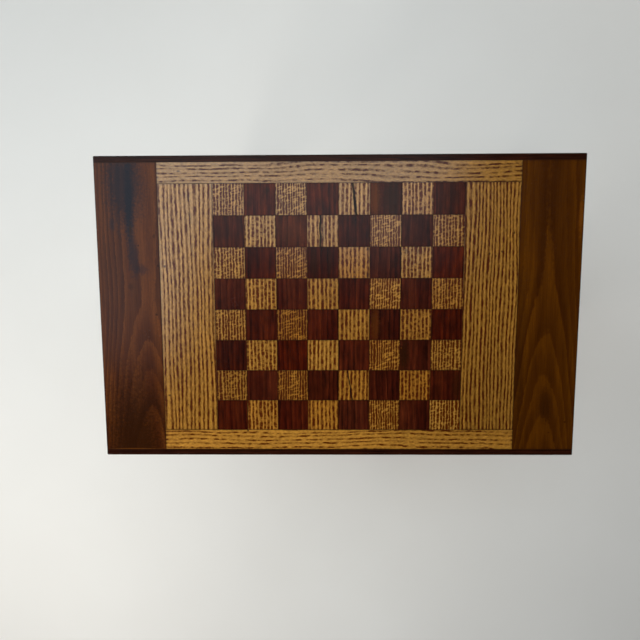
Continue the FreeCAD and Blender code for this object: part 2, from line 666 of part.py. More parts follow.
def pieces_of_frame():
    """The legs, aprons, braces, buttons, glides, screws and the drawer's runners."""
    pieces = {
        "back_apron": back_apron(),
        "corner_braces": Part.makeCompound(four_corners(brace())),
        "top_buttons": Part.makeCompound([top_button(seat) for seat in BUTTON_SEATS]),
        "top_screws": top_screws(),
        "foot_glides": Part.makeCompound(four_corners(glide())),
        "drawer_rear_stops": Part.makeCompound([rear_stop(), mirrored(rear_stop())]),
        "drawer_stop_batten": stop_batten(),
    }
    for name, post in zip(("back_right", "back_left", "front_right", "front_left"), four_corners(leg())):
        pieces[name + "_leg"] = post
    pieces.update(front_apron_pieces())
    pieces.update(pair("%s_apron", side_apron()))
    pieces.update(pair("%s_drawer_runner", runner()))
    pieces.update(pair("%s_drawer_guide", guide()))
    pieces.update(pair("%s_drawer_kicker", kicker()))
    return pieces


def pieces_of_drawer():
    """The drawer with its knob, and the turn button on its back."""
    pieces = {
        "drawer_front": drawer_front(),
        "drawer_back": drawer_back(),
        "drawer_bottom": drawer_bottom(),
        "drawer_bottom_screws": bottom_screws(screw(BOTTOM_SCREW_LENGTH)),
        "drawer_knob": drawer_knob(),
        "drawer_turn_button": turn_button(),
        "turn_button_screw": at_pivot(screw(PIVOT_SCREW_LENGTH)),
    }
    pieces.update(pair("drawer_%s_side", drawer_side()))
    return pieces


def main():
    """Builds every piece and writes it to its own file."""
    os.makedirs("parts", exist_ok=True)
    pieces = pieces_of_top() | pieces_of_frame() | pieces_of_drawer()
    for name, shape in pieces.items():
        shape.exportStep(f"parts/{name}.step")
        print(f"{name}: {len(shape.Solids)} solids, {shape.Volume / 1000:.1f} cubic centimetres")
    print(f"{len(pieces)} pieces; the drawer travels {DRAWER_TRAVEL:.1f} mm")


main()
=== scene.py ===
# %% [markdown]
# # A games table, dressed for its picture
#
# The table's construction, joints and sizes come from its CAD model, which is loaded here as a fixed frame.
# This lesson adds the looks: oak and walnut with their rings, pores and flecks, the glue lines of a
# hand-made top, a satin oil finish, slotted screws, and a plain studio. Nothing of the frame is moved.

# %% Load the frame
import math

import bmesh
import bpy
from mathutils import Euler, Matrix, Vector


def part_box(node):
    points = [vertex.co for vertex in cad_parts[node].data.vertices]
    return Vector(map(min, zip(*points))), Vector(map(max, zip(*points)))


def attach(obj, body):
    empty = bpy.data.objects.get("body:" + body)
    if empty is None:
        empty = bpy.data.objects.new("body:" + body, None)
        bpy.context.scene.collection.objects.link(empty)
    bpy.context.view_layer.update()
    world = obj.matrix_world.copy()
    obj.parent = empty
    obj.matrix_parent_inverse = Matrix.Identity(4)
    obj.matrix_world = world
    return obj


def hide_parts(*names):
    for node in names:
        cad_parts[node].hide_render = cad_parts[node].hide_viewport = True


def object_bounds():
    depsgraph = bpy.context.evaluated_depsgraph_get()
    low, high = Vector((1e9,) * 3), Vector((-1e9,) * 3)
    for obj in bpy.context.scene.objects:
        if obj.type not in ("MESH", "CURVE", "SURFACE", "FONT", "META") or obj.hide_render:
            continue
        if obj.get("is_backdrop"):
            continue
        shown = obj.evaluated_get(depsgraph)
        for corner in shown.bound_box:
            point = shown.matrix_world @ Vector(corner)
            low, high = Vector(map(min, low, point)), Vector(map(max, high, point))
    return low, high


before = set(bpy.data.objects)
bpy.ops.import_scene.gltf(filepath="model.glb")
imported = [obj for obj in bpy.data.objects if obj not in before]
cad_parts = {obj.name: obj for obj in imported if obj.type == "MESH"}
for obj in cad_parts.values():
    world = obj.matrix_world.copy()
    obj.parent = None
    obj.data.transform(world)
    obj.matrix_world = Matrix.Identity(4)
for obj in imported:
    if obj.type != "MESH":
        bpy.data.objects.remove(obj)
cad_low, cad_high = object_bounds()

scene = bpy.context.scene

# %% [markdown]
# ## Measures
#
# The sizes of boards, squares and screws are read from the frame, so that the looks follow the construction
# if it is ever changed. The oak squares reach from edge to edge of the chequered board, which gives the size
# of one square.

# %% Measures from the frame
SQUARES_A_SIDE = 8
MILLIMETRES = 1000.0  # in a metre: wood figure is easier to think of in millimetres

board_low, board_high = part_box("oak_squares")
square_size = (board_high.x - board_low.x) / SQUARES_A_SIDE
facing = board_high.z - board_low.z
top_height = board_high.z
print(f"squares of {square_size * MILLIMETRES:.1f} mm, {facing * MILLIMETRES:.1f} mm thick")

# %% [markdown]
# ## A helper for node trees
#
# Shader trees and geometry trees are built from the same three moves: add a node, set or link its inputs,
# and take one of its outputs. A small class holds the tree and has a method for each common node. With it,
# the recipes below read almost like arithmetic.

# %% Helper: a node tree while it is built
class Tree:
    """Adds nodes to a tree. Most methods give the socket that comes out of the new node."""

    def __init__(self, data):
        self.data = data

    def feed(self, node, inputs):
        """Feeds a node's inputs by name or number: links another node's output, or sets a plain value."""
        for key, value in inputs.items():
            if isinstance(value, bpy.types.NodeSocket):
                self.data.links.new(value, node.inputs[key])
            else:
                node.inputs[key].default_value = value

    def add(self, kind, inputs=None, **options):
        """Adds a node of one kind, sets its options, then feeds its inputs."""
        made = self.data.nodes.new(kind)
        for option, value in options.items():
            setattr(made, option, value)
        self.feed(made, inputs or {})
        return made

    def first(self, kind, inputs=None, **options):
        """Adds a node and gives its first output."""
        return self.add(kind, inputs, **options).outputs[0]

    def maths(self, operation, *values):
        """One step of arithmetic on numbers."""
        return self.first("ShaderNodeMath", dict(enumerate(values)), operation=operation)

    def times(self, first, second, plus=None):
        """The product of two numbers, with a third added to it if there is one."""
        if plus is None:
            return self.maths("MULTIPLY", first, second)
        return self.maths("MULTIPLY_ADD", first, second, plus)

    def minus(self, first, second):
        """The difference of two numbers."""
        return self.maths("SUBTRACT", first, second)

    def vectors(self, operation, *values):
        """One step of arithmetic on vectors; a length or a product of two comes out as a number."""
        made = self.add("ShaderNodeVectorMath", dict(enumerate(values)), operation=operation)
        return made.outputs["Value" if operation in ("LENGTH", "DOT_PRODUCT") else "Vector"]

    def parts_of(self, vector):
        """The x, y and z of a vector, as three sockets."""
        return self.add("ShaderNodeSeparateXYZ", {0: vector}).outputs

    def joined(self, x, y, z):
        """A vector from three numbers."""
        return self.first("ShaderNodeCombineXYZ", {0: x, 1: y, 2: z})

    def step(self, value, start, end):
        """Eases from 0 to 1 while the value goes from start to end."""
        inputs = {"Value": value, "From Min": start, "From Max": end}
        return self.first("ShaderNodeMapRange", inputs, interpolation_type="SMOOTHSTEP")

    def spread(self, value, low, high, start=0.0, end=1.0):
        """Stretches a number from one range over another, in a straight line."""
        inputs = {"Value": value, "From Min": start, "From Max": end, "To Min": low, "To Max": high}
        return self.first("ShaderNodeMapRange", inputs)

    def noise(self, vector, sizes, detail=2.0):
        """Cloudy noise whose clouds have about these sizes along x, y and z."""
        scaled = self.vectors("DIVIDE", vector, sizes)
        return self.first("ShaderNodeTexNoise", {"Vector": scaled, "Scale": 1.0, "Detail": detail})

    def clouds(self, vector, sizes, low, high, detail=2.0):
        """The same noise over a range of numbers."""
        return self.spread(self.noise(vector, sizes, detail), low, high)

    def dashes(self, vector, sizes, fullness, softness=0.3):
        """Scattered dashes of about these sizes: 1 in the middle of each, 0 between them."""
        scaled = self.vectors("DIVIDE", vector, sizes)
        distance = self.first("ShaderNodeTexVoronoi", {"Vector": scaled, "Scale": 1.0}, feature="F1")
        return self.step(distance, fullness, self.times(fullness, 1.0 - softness))

    def draw(self, number):
        """A draw between 0 and 1 that is always the same for one number."""
        return self.first("ShaderNodeTexWhiteNoise", {"W": number}, noise_dimensions="1D")

    def mix(self, amount, first, second, mode="MIX"):
        """Goes from the first colour to the second by an amount."""
        inputs = {0: amount, 6: first, 7: second}
        return self.add("ShaderNodeMix", inputs, data_type="RGBA", blend_type=mode).outputs[2]

    def shade(self, colour, value):
        """A colour made lighter or darker by a number."""
        return self.mix(1.0, colour, self.joined(value, value, value), "MULTIPLY")

    def use(self, group, inputs):
        """Places a shader group in the tree and gives its outputs."""
        return self.add("ShaderNodeGroup", inputs, node_tree=group.data).outputs

    def give(self, **values):
        """Sends values out of a group, by the names of its outputs."""
        self.add("NodeGroupOutput", values)


# %% Helpers: colours, and groups with named sockets
SOCKETS = {
    "value": "NodeSocketFloat",
    "count": "NodeSocketInt",
    "truth": "NodeSocketBool",
    "vector": "NodeSocketVector",
    "turn": "NodeSocketRotation",
    "colour": "NodeSocketColor",
    "finish": "NodeSocketMaterial",
    "geometry": "NodeSocketGeometry",
}


def paint(red, green, blue):
    """A colour as a screen shows it, from 0 to 255, turned into the light that a shader works with."""

    def light(level):
        level = level / 255
        return level / 12.92 if level < 0.04045 else ((level + 0.055) / 1.055) ** 2.4

    return (light(red), light(green), light(blue), 1.0)


def new_group(name, inputs, outputs, kind="ShaderNodeTree"):
    """An empty group. Gives its tree and the sockets that come in."""
    tree = Tree(bpy.data.node_groups.new(name, kind))
    for way, sockets in (("INPUT", inputs), ("OUTPUT", outputs)):
        for socket, sort in sockets.items():
            tree.data.interface.new_socket(socket, in_out=way, socket_type=SOCKETS[sort])
    given = tree.add("NodeGroupInput").outputs
    print("group:", name)
    return tree, [given[socket] for socket in inputs]


# %% [markdown]
# ## Growth rings
#
# A board is a slice of a trunk, so its lines are not painted on: they are the rings of the tree, cut by the
# saw. The group below measures how far a point is from the heart of the tree. With the heart far off to one
# side, a face shows straight lines; with the heart under the board and leaning, it shows pointed arches, up
# to the place where the trunk runs level.
# One set of rings gives the face, the edge and the end grain, and they agree where they meet.
# In every wood recipe y runs along the grain, x across the board and z through it, in millimetres.

# %% Group: growth rings
RING_NAMES = ("Heart Across", "Heart Below", "Lean", "Level From", "Ring Width", "Waviness", "Ripple")
RING_INPUTS = {"Grain": "vector"} | dict.fromkeys(RING_NAMES, "value")
SLOW_BENDS, QUICK_BENDS = (48, 260, 48), (5, 9, 5)  # sizes along x, y and z of the two bends of a ring
LEVELLING = 60.0  # the length in which a leaning trunk comes level
UNEVEN_YEARS = 0.55  # how far the width of a ring strays

tree, given = new_group("Growth rings", RING_INPUTS, {"Place": "value", "Number": "value"})
grain, heart_across, heart_below, lean, level_from, ring_width, waviness, ripple = given
x, y, z = tree.parts_of(grain)
wave = tree.clouds(grain, SLOW_BENDS, -1.0, 1.0)
bend = tree.clouds(grain, QUICK_BENDS, -1.0, 1.0, 3.0)
climb = tree.maths("SMOOTH_MIN", tree.minus(y, level_from), 0.0, LEVELLING)
across = tree.minus(x, heart_across)
below = tree.maths("ADD", z, tree.times(climb, lean, plus=heart_below))
distance = tree.vectors("LENGTH", tree.joined(across, below, 0.0))
distance = tree.times(wave, waviness, plus=distance)
distance = tree.times(bend, ripple, plus=distance)
count = tree.maths("DIVIDE", distance, ring_width)
years = tree.first("ShaderNodeTexNoise", {"W": count, "Scale": 0.57}, noise_dimensions="1D")
count = tree.times(years, UNEVEN_YEARS, plus=count)
tree.give(Place=tree.maths("FRACT", count), Number=tree.maths("FLOOR", count))
growth_rings = tree

# %% [markdown]
# ## Oak
#
# Oak starts each ring with a row of large open pores, which finishing oil fills with dark colour: from a
# step away they are chains of short dark dashes between bands of clear honey-coloured wood. Boards that are
# cut towards the heart also show ray flecks, pale ribbons that cross the grain and break up the chains.

# %% Group: oak figure
PORE_NAMES = ("Pore Band", "Dash Length", "Fleck", "Faintest", "Strongest")
OAK_INPUTS = RING_INPUTS | dict.fromkeys(PORE_NAMES, "value") | {"Ground": "colour", "Pore": "colour"}
FIGURE_OUTPUTS = {"Colour": "colour", "Pores": "value"}
PORE_PLACE = 0.4  # of a ring
PORE_CORE = 0.28  # of the pore band, where the row is full
OPEN_SHARE = 0.75  # of the pores, which the finish leaves open

tree, given = new_group("Oak figure", OAK_INPUTS, FIGURE_OUTPUTS)
grain = given[0]
pore_band, dash_length, rays, faintest, strongest, ground, pore = given[len(RING_INPUTS):]
place, number = tree.use(growth_rings, dict(zip(RING_INPUTS, given)))
x, y, z = tree.parts_of(grain)

# flecks: ribbons in patches, which rise a little across the board
rise = tree.times(tree.noise(grain, (24, 24, 24)), 14.0, plus=tree.times(x, -0.3, plus=y))
ribbon = tree.dashes(tree.joined(x, rise, z), (12, 3.8, 11), 0.6, 0.5)
patch = tree.step(tree.noise(grain, (22, 26, 22)), 0.3, 0.5)
fleck = tree.times(tree.times(ribbon, patch), rays)

# pores: a row in each ring, broken into chains, and small ones between the rows
off_row = tree.maths("ABSOLUTE", tree.minus(place, PORE_PLACE))
row = tree.step(off_row, pore_band, tree.times(pore_band, PORE_CORE))
along = tree.maths("DIVIDE", y, dash_length)
chain = tree.noise(tree.joined(tree.times(number, 7.3), along, x), (1, 1, 9), 3.0)
chain = tree.spread(tree.step(chain, 0.26, 0.74), faintest, strongest)
large = tree.spread(tree.dashes(grain, (1.0, 9, 1.0), 0.62), 0.86, 1.0)
small = tree.times(tree.dashes(grain, (1.3, 9, 1.3), 0.42), 0.25)
pores = tree.maths("MAXIMUM", tree.times(tree.times(row, chain), large), small)
pores = tree.times(pores, tree.times(fleck, -0.7, plus=1.0))
pores = tree.maths("MINIMUM", pores, 1.0)

# clear wood: fibres, clouds, and lighter and darker years
long = tree.clouds(grain, (1.1, 16, 1.1), 0.6, 1.4, 3.0)
short = tree.clouds(grain, (2.0, 4.5, 2.0), -0.5, 0.5, 1.0)
cloud = tree.clouds(grain, (30, 150, 30), 0.86, 1.14)
year = tree.spread(tree.draw(number), 0.92, 1.08)
tone = tree.times(tree.times(tree.maths("ADD", long, short), cloud), year)
tone = tree.times(fleck, 0.3, plus=tone)
colour = tree.mix(pores, tree.shade(ground, tone), pore)
tree.give(Colour=colour, Pores=tree.times(pores, OPEN_SHARE))
oak_figure = tree

# %% [markdown]
# ## Walnut
#
# Walnut is quieter: a dark ground with soft bands, long streaks of lighter and darker brown, fine fibres,
# and thin scattered pores. Each ring starts dark, with a sharp edge, and fades to a paler end. The bands
# follow the same growth rings as the oak's.

# %% Group: walnut figure
BROWNS = ("Light", "Ground", "Dark")
WALNUT_INPUTS = RING_INPUTS | dict.fromkeys(BROWNS, "colour") | {"Fibre": "value"}

tree, given = new_group("Walnut figure", WALNUT_INPUTS, FIGURE_OUTPUTS)
grain = given[0]
light, ground, dark, fibre = given[len(RING_INPUTS):]
place, number = tree.use(growth_rings, dict(zip(RING_INPUTS, given)))
year = tree.draw(number)
band = tree.times(tree.step(place, 0.0, 0.08), tree.step(place, 0.8, 0.08))
band = tree.times(band, tree.spread(year, 0.2, 0.85))
pale = tree.times(tree.step(place, 0.5, 0.98), tree.spread(year, 0.8, 0.0))
streak = tree.step(tree.noise(grain, (13, 190, 13), 3.0), 0.36, 0.68)
cloud = tree.step(tree.noise(grain, (40, 210, 40)), 0.35, 0.7)
coarse = tree.clouds(grain, (2.4, 50, 2.4), -0.75, 0.75)
fine = tree.clouds(grain, (1.1, 30, 1.1), -0.7, 0.7, 3.0)
fibre = tree.times(tree.maths("ADD", coarse, fine), fibre, plus=1.0)
pores = tree.dashes(grain, (0.7, 6, 0.7), 0.3)

colour = tree.mix(streak, ground, light)
colour = tree.mix(tree.times(cloud, 0.6), colour, ground)
colour = tree.mix(pale, colour, light)
colour = tree.shade(tree.mix(band, colour, dark), fibre)
tree.give(Colour=tree.mix(tree.times(pores, 0.7), colour, dark), Pores=pores)
walnut_figure = tree

# %% [markdown]
# ## Glue lines, marks and the finish
#
# Where two boards meet, a fine dark line and a little grime show. The line is measured from the board's own
# edges. A mark is a soft oval, used for knots, smudges, stains and patches of painted shade, and a crack is a
# thin line between two points. The finish is a hand-rubbed oil: satin, a little cloudy, duller in the open
# pores.

# %% Group: glue line
GRIME_REACH = 6.0  # to the width of the line

inputs = dict.fromkeys(("Position", "Low", "High"), "vector") | {"Width": "value"}
tree, (position, low, high, width) = new_group("Glue line", inputs, {"Line": "value", "Grime": "value"})
x0, y0, _ = tree.parts_of(tree.vectors("SUBTRACT", position, low))
x1, y1, _ = tree.parts_of(tree.vectors("SUBTRACT", high, position))
nearest = tree.maths("MINIMUM", tree.maths("MINIMUM", x0, x1), tree.maths("MINIMUM", y0, y1))
width = tree.times(width, tree.clouds(position, (7, 7, 7), 0.35, 1.65))
line = tree.step(nearest, width, tree.times(width, 0.3))
tree.give(Line=line, Grime=tree.step(nearest, tree.times(width, GRIME_REACH), 0.0))
glue_line = tree

# %% Group: mark
inputs = dict.fromkeys(("Position", "Centre", "Reach"), "vector")
tree, (position, centre, reach) = new_group("Mark", inputs, {"Mask": "value"})
rough = tree.add("ShaderNodeTexNoise", {"Vector": position, "Scale": 0.28}).outputs["Color"]
rough = tree.vectors("MULTIPLY", tree.vectors("SUBTRACT", rough, (0.5, 0.5, 0.5)), (0.9, 0.9, 0.0))
share = tree.vectors("DIVIDE", tree.vectors("SUBTRACT", position, centre), reach)
share = tree.vectors("LENGTH", tree.vectors("ADD", share, rough))
tree.give(Mask=tree.step(share, 1.0, 0.25))
mark = tree

# %% Group: crack
inputs = dict.fromkeys(("Position", "Start", "End"), "vector") | {"Width": "value"}
tree, (position, start, end, width) = new_group("Crack", inputs, {"Mask": "value"})
flat = tree.vectors("MULTIPLY", position, (1.0, 1.0, 0.0))
wander = tree.clouds(position, (14, 14, 14), -1.6, 1.6)
flat = tree.vectors("ADD", flat, tree.joined(wander, 0.0, 0.0))
way = tree.vectors("SUBTRACT", end, start)
gone = tree.vectors("SUBTRACT", flat, start)
share = tree.vectors("DOT_PRODUCT", gone, way)
share = tree.maths("DIVIDE", share, tree.vectors("DOT_PRODUCT", way, way))
share = tree.first("ShaderNodeClamp", {"Value": share})
side = tree.vectors("SUBTRACT", gone, tree.vectors("MULTIPLY", way, tree.joined(share, share, share)))
half = tree.times(tree.times(width, 0.5), tree.clouds(position, (6, 11, 6), 0.3, 1.7))
tree.give(Mask=tree.step(tree.vectors("LENGTH", side), half, tree.times(half, 0.4)))
crack = tree

# %% Group: satin finish
inputs = {"Position": "vector"} | dict.fromkeys(("Pores", "Lowest", "Highest", "Shine"), "value")
outputs = dict.fromkeys(("Roughness", "Height", "Coat"), "value")
tree, (position, pores, lowest, highest, shine) = new_group("Satin finish", inputs, outputs)
cloud = tree.noise(position, (70, 70, 70), 4.0)
rub = tree.noise(position, (5, 5, 5), 3.0)
level = tree.times(rub, 0.35, plus=tree.times(cloud, 0.65))
sheen = tree.spread(level, lowest, highest, 0.3, 0.7)
roughness = tree.times(pores, 0.08, plus=sheen)
coat = tree.times(tree.times(pores, -0.9, plus=1.0), shine)
height = tree.times(rub, 0.25, plus=tree.times(pores, -1.0))
tree.give(Roughness=roughness, Height=height, Coat=coat)
satin_finish = tree

# %% [markdown]
# ## From figure to material
#
# Each board gets a material of its own, cut from its own place in its own tree, because no two boards of a
# real table match. A Mapping node turns the piece so that y runs along its grain, and moves it to a fresh
# part of the noise. The shader itself is the same for all the wood: an oiled surface with a thin clear coat.

# %% Helpers: a new material, and where a point is in its board
QUARTER_TURN = math.radians(90)
GRAIN_TURN = {"X": (0, 0, QUARTER_TURN), "Y": (0, 0, 0), "Z": (QUARTER_TURN, 0, 0)}
TREE_SPACING = 3000.0  # between the trees, along the grain


def new_material(name):
    """An empty material. Gives it, its tree and its shader, which is already joined to the output."""
    material = bpy.data.materials.new(name)
    material.use_nodes = True
    material.node_tree.nodes.clear()
    tree = Tree(material.node_tree)
    shader = tree.add("ShaderNodeBsdfPrincipled", {"IOR": 1.45})
    tree.add("ShaderNodeOutputMaterial", {"Surface": shader.outputs[0]})
    print("finish:", name)
    return material, tree, shader


def place_in_frame(tree):
    """Where the point is in the table's own frame, in metres."""
    return tree.add("ShaderNodeTexCoord").outputs["Object"]


def position_in_mm(tree):
    """Where the point is in the table's own frame, in millimetres."""
    return tree.vectors("MULTIPLY", place_in_frame(tree), (MILLIMETRES,) * 3)


def grain_of(tree, node, along, tree_number):
    """The point in its own board, from the board's middle: y along the grain, x across it.

    Each tree takes its own part of the noise, far along the grain from the others.
    """
    low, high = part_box(node)
    turn = Euler(GRAIN_TURN[along])
    middle = (low + high) / 2 * MILLIMETRES
    middle.rotate(turn)
    inputs = {"Vector": place_in_frame(tree), "Rotation": turn, "Scale": (MILLIMETRES,) * 3}
    inputs["Location"] = Vector((0, TREE_SPACING * tree_number, 0)) - middle
    return tree.first("ShaderNodeMapping", inputs)


# %% Helpers: the finish that every wood shares
OILED = {"Lowest": 0.22, "Highest": 0.32}
RUBBED = {"Lowest": 0.2, "Highest": 0.28}
BARE = {"Lowest": 0.6, "Highest": 0.8}
BARE_SHINE = 0.1
COAT_ROUGHNESS = 0.22
UNDER_COAT_SHINE = 0.08
RELIEF = {"Strength": 0.2, "Distance": 0.0003}


def finish_wood(tree, shader, colour, pores, position, gloss, shine=BARE_SHINE):
    """Joins a figure to the shader, with the roughness, the coat and the relief of its finish."""
    finish = tree.use(satin_finish, {"Position": position, "Pores": pores, "Shine": shine} | gloss)
    inputs = {"Base Color": colour, "Roughness": finish["Roughness"], "Coat Weight": finish["Coat"]}
    inputs["Normal"] = tree.first("ShaderNodeBump", {"Height": finish["Height"]} | RELIEF)
    inputs |= {"Coat Roughness": COAT_ROUGHNESS, "Specular IOR Level": UNDER_COAT_SHINE}
    tree.feed(shader, inputs)


def dress(node, material):
    """Gives a CAD piece its finish."""
    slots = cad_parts[node].data.materials
    slots.clear()
    slots.append(material)


# %% Helpers: edges, marks and cracks of a board
# dark brown of grime, knots and stains, also used for patches of painted shade
GRIME_AND_SHADE = paint(34, 13, 2)
CRACK_COLOUR = paint(16, 9, 5)
BOARD_LINE, SQUARE_LINE = 0.75, 0.45  # widths of the glue lines
ANY_DEPTH = 1e6  # a mark goes right through its board


def box_in_mm(node):
    """The lowest and highest corners of a node, in millimetres."""
    return [tuple(corner * MILLIMETRES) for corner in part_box(node)]


def with_edges(tree, colour, pores, position, low, high, width=BOARD_LINE):
    """A dark glue line along the four sides of a board, with a little grime beside it."""
    line = tree.use(glue_line, {"Position": position, "Low": low, "High": high, "Width": width})
    colour = tree.mix(tree.times(line["Grime"], 0.3), colour, GRIME_AND_SHADE)
    colour = tree.mix(tree.times(line["Line"], 0.85), colour, GRIME_AND_SHADE)
    return colour, tree.maths("MAXIMUM", pores, line["Line"])


def with_marks(tree, colour, position, marks, mark_colour=GRIME_AND_SHADE):
    """Knots, stains, smudges and patches of painted shade: each a place and a reach in plan, then a strength.
    """
    for x, y, reach_x, reach_y, strength in marks:
        inputs = {"Position": position, "Centre": (x, y, 0), "Reach": (reach_x, reach_y, ANY_DEPTH)}
        mask = tree.use(mark, inputs)["Mask"]
        colour = tree.mix(tree.times(mask, strength), colour, mark_colour)
    return colour


def with_cracks(tree, colour, pores, position, cracks):
    """Thin dark cracks, each from one point to another in plan. They take no coat, like open pores."""
    for start, end, width in cracks:
        inputs = {"Position": position, "Start": (*start, 0), "End": (*end, 0), "Width": width}
        mask = tree.use(crack, inputs)["Mask"]
        colour = tree.mix(tree.times(mask, 0.95), colour, CRACK_COLOUR)
        pores = tree.maths("MAXIMUM", pores, mask)
    return colour, pores


# %% [markdown]
# ## The oak boards of the top
#
# Two flank boards stand beside the squares, with their grain from back to front, and two rails lie behind
# and before them, with their grain from left to right. They are cut so that the rings cross the face in
# close straight lines. The rows of pores are long in the flanks, and sparse and broken in the rails.

# %% Oak flanks and rails
OAK_COLOURS = {"Ground": paint(142, 98, 34), "Pore": paint(64, 22, 0)}
TOP_OAK = OAK_COLOURS | {"Heart Across": -900.0, "Heart Below": 500.0}
OAK_SHINE = 0.95

# x, y, reach along x, reach along y, strength
OAK_MARKS = {
    "left_flank_board": [
        (-242, 180, 2.4, 11, 0.6),
        (-240, 150, 1.8, 15, 0.45),
        (-238, 98, 2.2, 13, 0.4),
        (-284, 71, 3.0, 3.4, 0.75),
        (-210, -88, 2.0, 3.0, 0.7),
        (-283, -144, 3.6, 2.4, 0.7),
        (-252, -160, 2.0, 3.0, 0.6),
    ],
    "right_flank_board": [
        (283, 123, 2.6, 2.8, 0.75),
        (244, 90, 2.6, 2.4, 0.6),
        (255, 86, 2.0, 2.4, 0.7),
        (264, 93, 2.4, 2.0, 0.7),
        (278, 70, 1.8, 4.0, 0.7),
        # a wide soft patch of painted shade, darker towards the lower right of the top, where less light
        # falls
        (262, -190, 90, 150, 0.16),
    ],
    "back_oak_rail": [(-257, 222.5, 4.2, 2.2, 0.75), (-263.5, 221, 0.9, 10, 0.5)],
    # the second mark is a wide soft patch of painted shade at the rail's right end, where less light falls
    "front_oak_rail": [(-152.4, -204, 2.0, 4.0, 0.95), (280, -220, 280, 90, 0.2)],
}
OAK_RECIPE = ("Ring Width", "Waviness", "Ripple", "Pore Band", "Dash Length", "Faintest", "Strongest")
RAIL = (6.4, 12.0, 1.4, 0.34, 11.0, 0.02, 1.4)
# along the grain, tree, tone, then the recipe. The tone is partly each board's own shade and partly painted
# light
# and shade: the left flank and the front rail lighter where more light falls, the right flank darker where
# less falls
OAK_BOARDS = {
    "left_flank_board": ("Y", 1, 1.04, (6.1, 7.0, 1.4, 0.4, 14.0, 0.55, 1.3)),
    "right_flank_board": ("Y", 2, 0.92, (5.2, 7.0, 1.1, 0.41, 14.0, 0.55, 1.4)),
    "back_oak_rail": ("X", 3, 0.86, RAIL),
    "front_oak_rail": ("X", 4, 1.3, RAIL),
}
for node, (along, tree_number, tone, recipe) in OAK_BOARDS.items():
    material, tree, shader = new_material(node + "_finish")
    position = position_in_mm(tree)
    inputs = {"Grain": grain_of(tree, node, along, tree_number)} | TOP_OAK | dict(zip(OAK_RECIPE, recipe))
    colour, pores = tree.use(oak_figure, inputs)
    # the board's tone: partly its own shade, partly painted light and shade
    colour = with_marks(tree, tree.shade(colour, tone), position, OAK_MARKS[node])
    colour, pores = with_edges(tree, colour, pores, position, *box_in_mm(node))
    finish_wood(tree, shader, colour, pores, position, OILED, OAK_SHINE)
    dress(node, material)

# %% [markdown]
# ## The walnut ends and edge strips
#
# The end boards are wide walnut. The left one has a blue-black streak and small knots; over its top the
# streak spreads into a broad bluish patch, which is partly a painted cool reflection. The right one shows the
# pointed arches of a board cut near the outside of the tree, where the heart lies below it and leans. Thin
# strips of darker walnut cover the long edges.

# %% Marks of the walnut boards
# bluish black of the left end's streak, which over the board's top also stands for a painted cool reflection
STREAK_AND_SHEEN = paint(11, 13, 24)
PALE = paint(104, 56, 14)

# x, y, reach along x, reach along y, strength
STREAKS_AND_SHEEN = {
    "left_end_board": [
        # a broad bluish patch over the board's top: partly the streak, partly a painted cool reflection
        (-345, 205, 44, 100, 0.8),
        (-339, 170, 10, 115, 0.9),
        (-334, 85, 13, 44, 0.6),
        (-322, 66, 16, 12, 0.5),
        (-368, 138, 7, 16, 0.5),
    ],
}
WALNUT_MARKS = {
    "left_end_board": [
        (-338, 130, 3.0, 16, 0.95),
        (-326, 105, 2.2, 2.2, 0.9),
        (-300, 120, 3.5, 5, 0.6),
        (-295, 72, 2.6, 3.0, 0.85),
        (-300, -8, 3.5, 2.8, 0.8),
        (-341, 38, 6, 9, 0.5),
        (-345, -235, 70, 185, 0.9),
    ],
    "right_end_board": [
        (378, -190, 2.0, 2.2, 0.8),
        (352, -208, 2.4, 2.0, 0.7),
        (344, -160, 15, 42, 0.45),
        (300, -60, 12, 190, 0.4),
    ],
}
PALE_MARKS = {
    "left_end_board": [(-343, -236.4, 60, 1.4, 0.5)],
    "right_end_board": [(388, 150, 4, 45, 0.5)],
}

# %% Walnut ends and strips
WALNUT_SHINE, LEFT_END_SHINE, STRIP_SHINE = 0.14, 0.08, 0.0
STRAIGHT_RINGS = {
    "Heart Across": -700.0,
    "Heart Below": 420.0,
    "Ring Width": 9.0,
    "Waviness": 12.0,
    "Ripple": 1.5,
    "Fibre": 1.4,
}
ARCHED_RINGS = {"Heart Below": 95, "Lean": 0.06, "Waviness": 3.2, "Fibre": 0.45}


def browns(*colours):
    """The light, ground and dark colours of a walnut."""
    return {name: paint(*colour) for name, colour in zip(BROWNS, colours)}


def arches(tree_number, across, level, ring_width, ripple):
    """The rings of a board whose heart lies below it and leans, so that they close in pointed arches.

    Across places the arches from the board's middle. Beyond the level place the trunk runs along the board,
    and the lines are straight.
    """
    rings = {"Heart Across": across, "Level From": level + TREE_SPACING * tree_number}
    return ARCHED_RINGS | rings | {"Ring Width": ring_width, "Ripple": ripple}


def make_walnut_board(node, along, tree_number, colours, rings, edges=True, shine=WALNUT_SHINE):
    """One walnut board: figure, marks, glue lines, finish."""
    material, tree, shader = new_material(node + "_finish")
    position = position_in_mm(tree)
    inputs = {"Grain": grain_of(tree, node, along, tree_number)} | colours | rings
    colour, pores = tree.use(walnut_figure, inputs)
    colour = with_marks(tree, colour, position, STREAKS_AND_SHEEN.get(node, []), STREAK_AND_SHEEN)
    colour = with_marks(tree, colour, position, WALNUT_MARKS.get(node, []))
    if edges:
        colour, pores = with_edges(tree, colour, pores, position, *box_in_mm(node))
    colour = with_marks(tree, colour, position, PALE_MARKS.get(node, []), PALE)
    finish_wood(tree, shader, colour, pores, position, RUBBED, shine)
    dress(node, material)


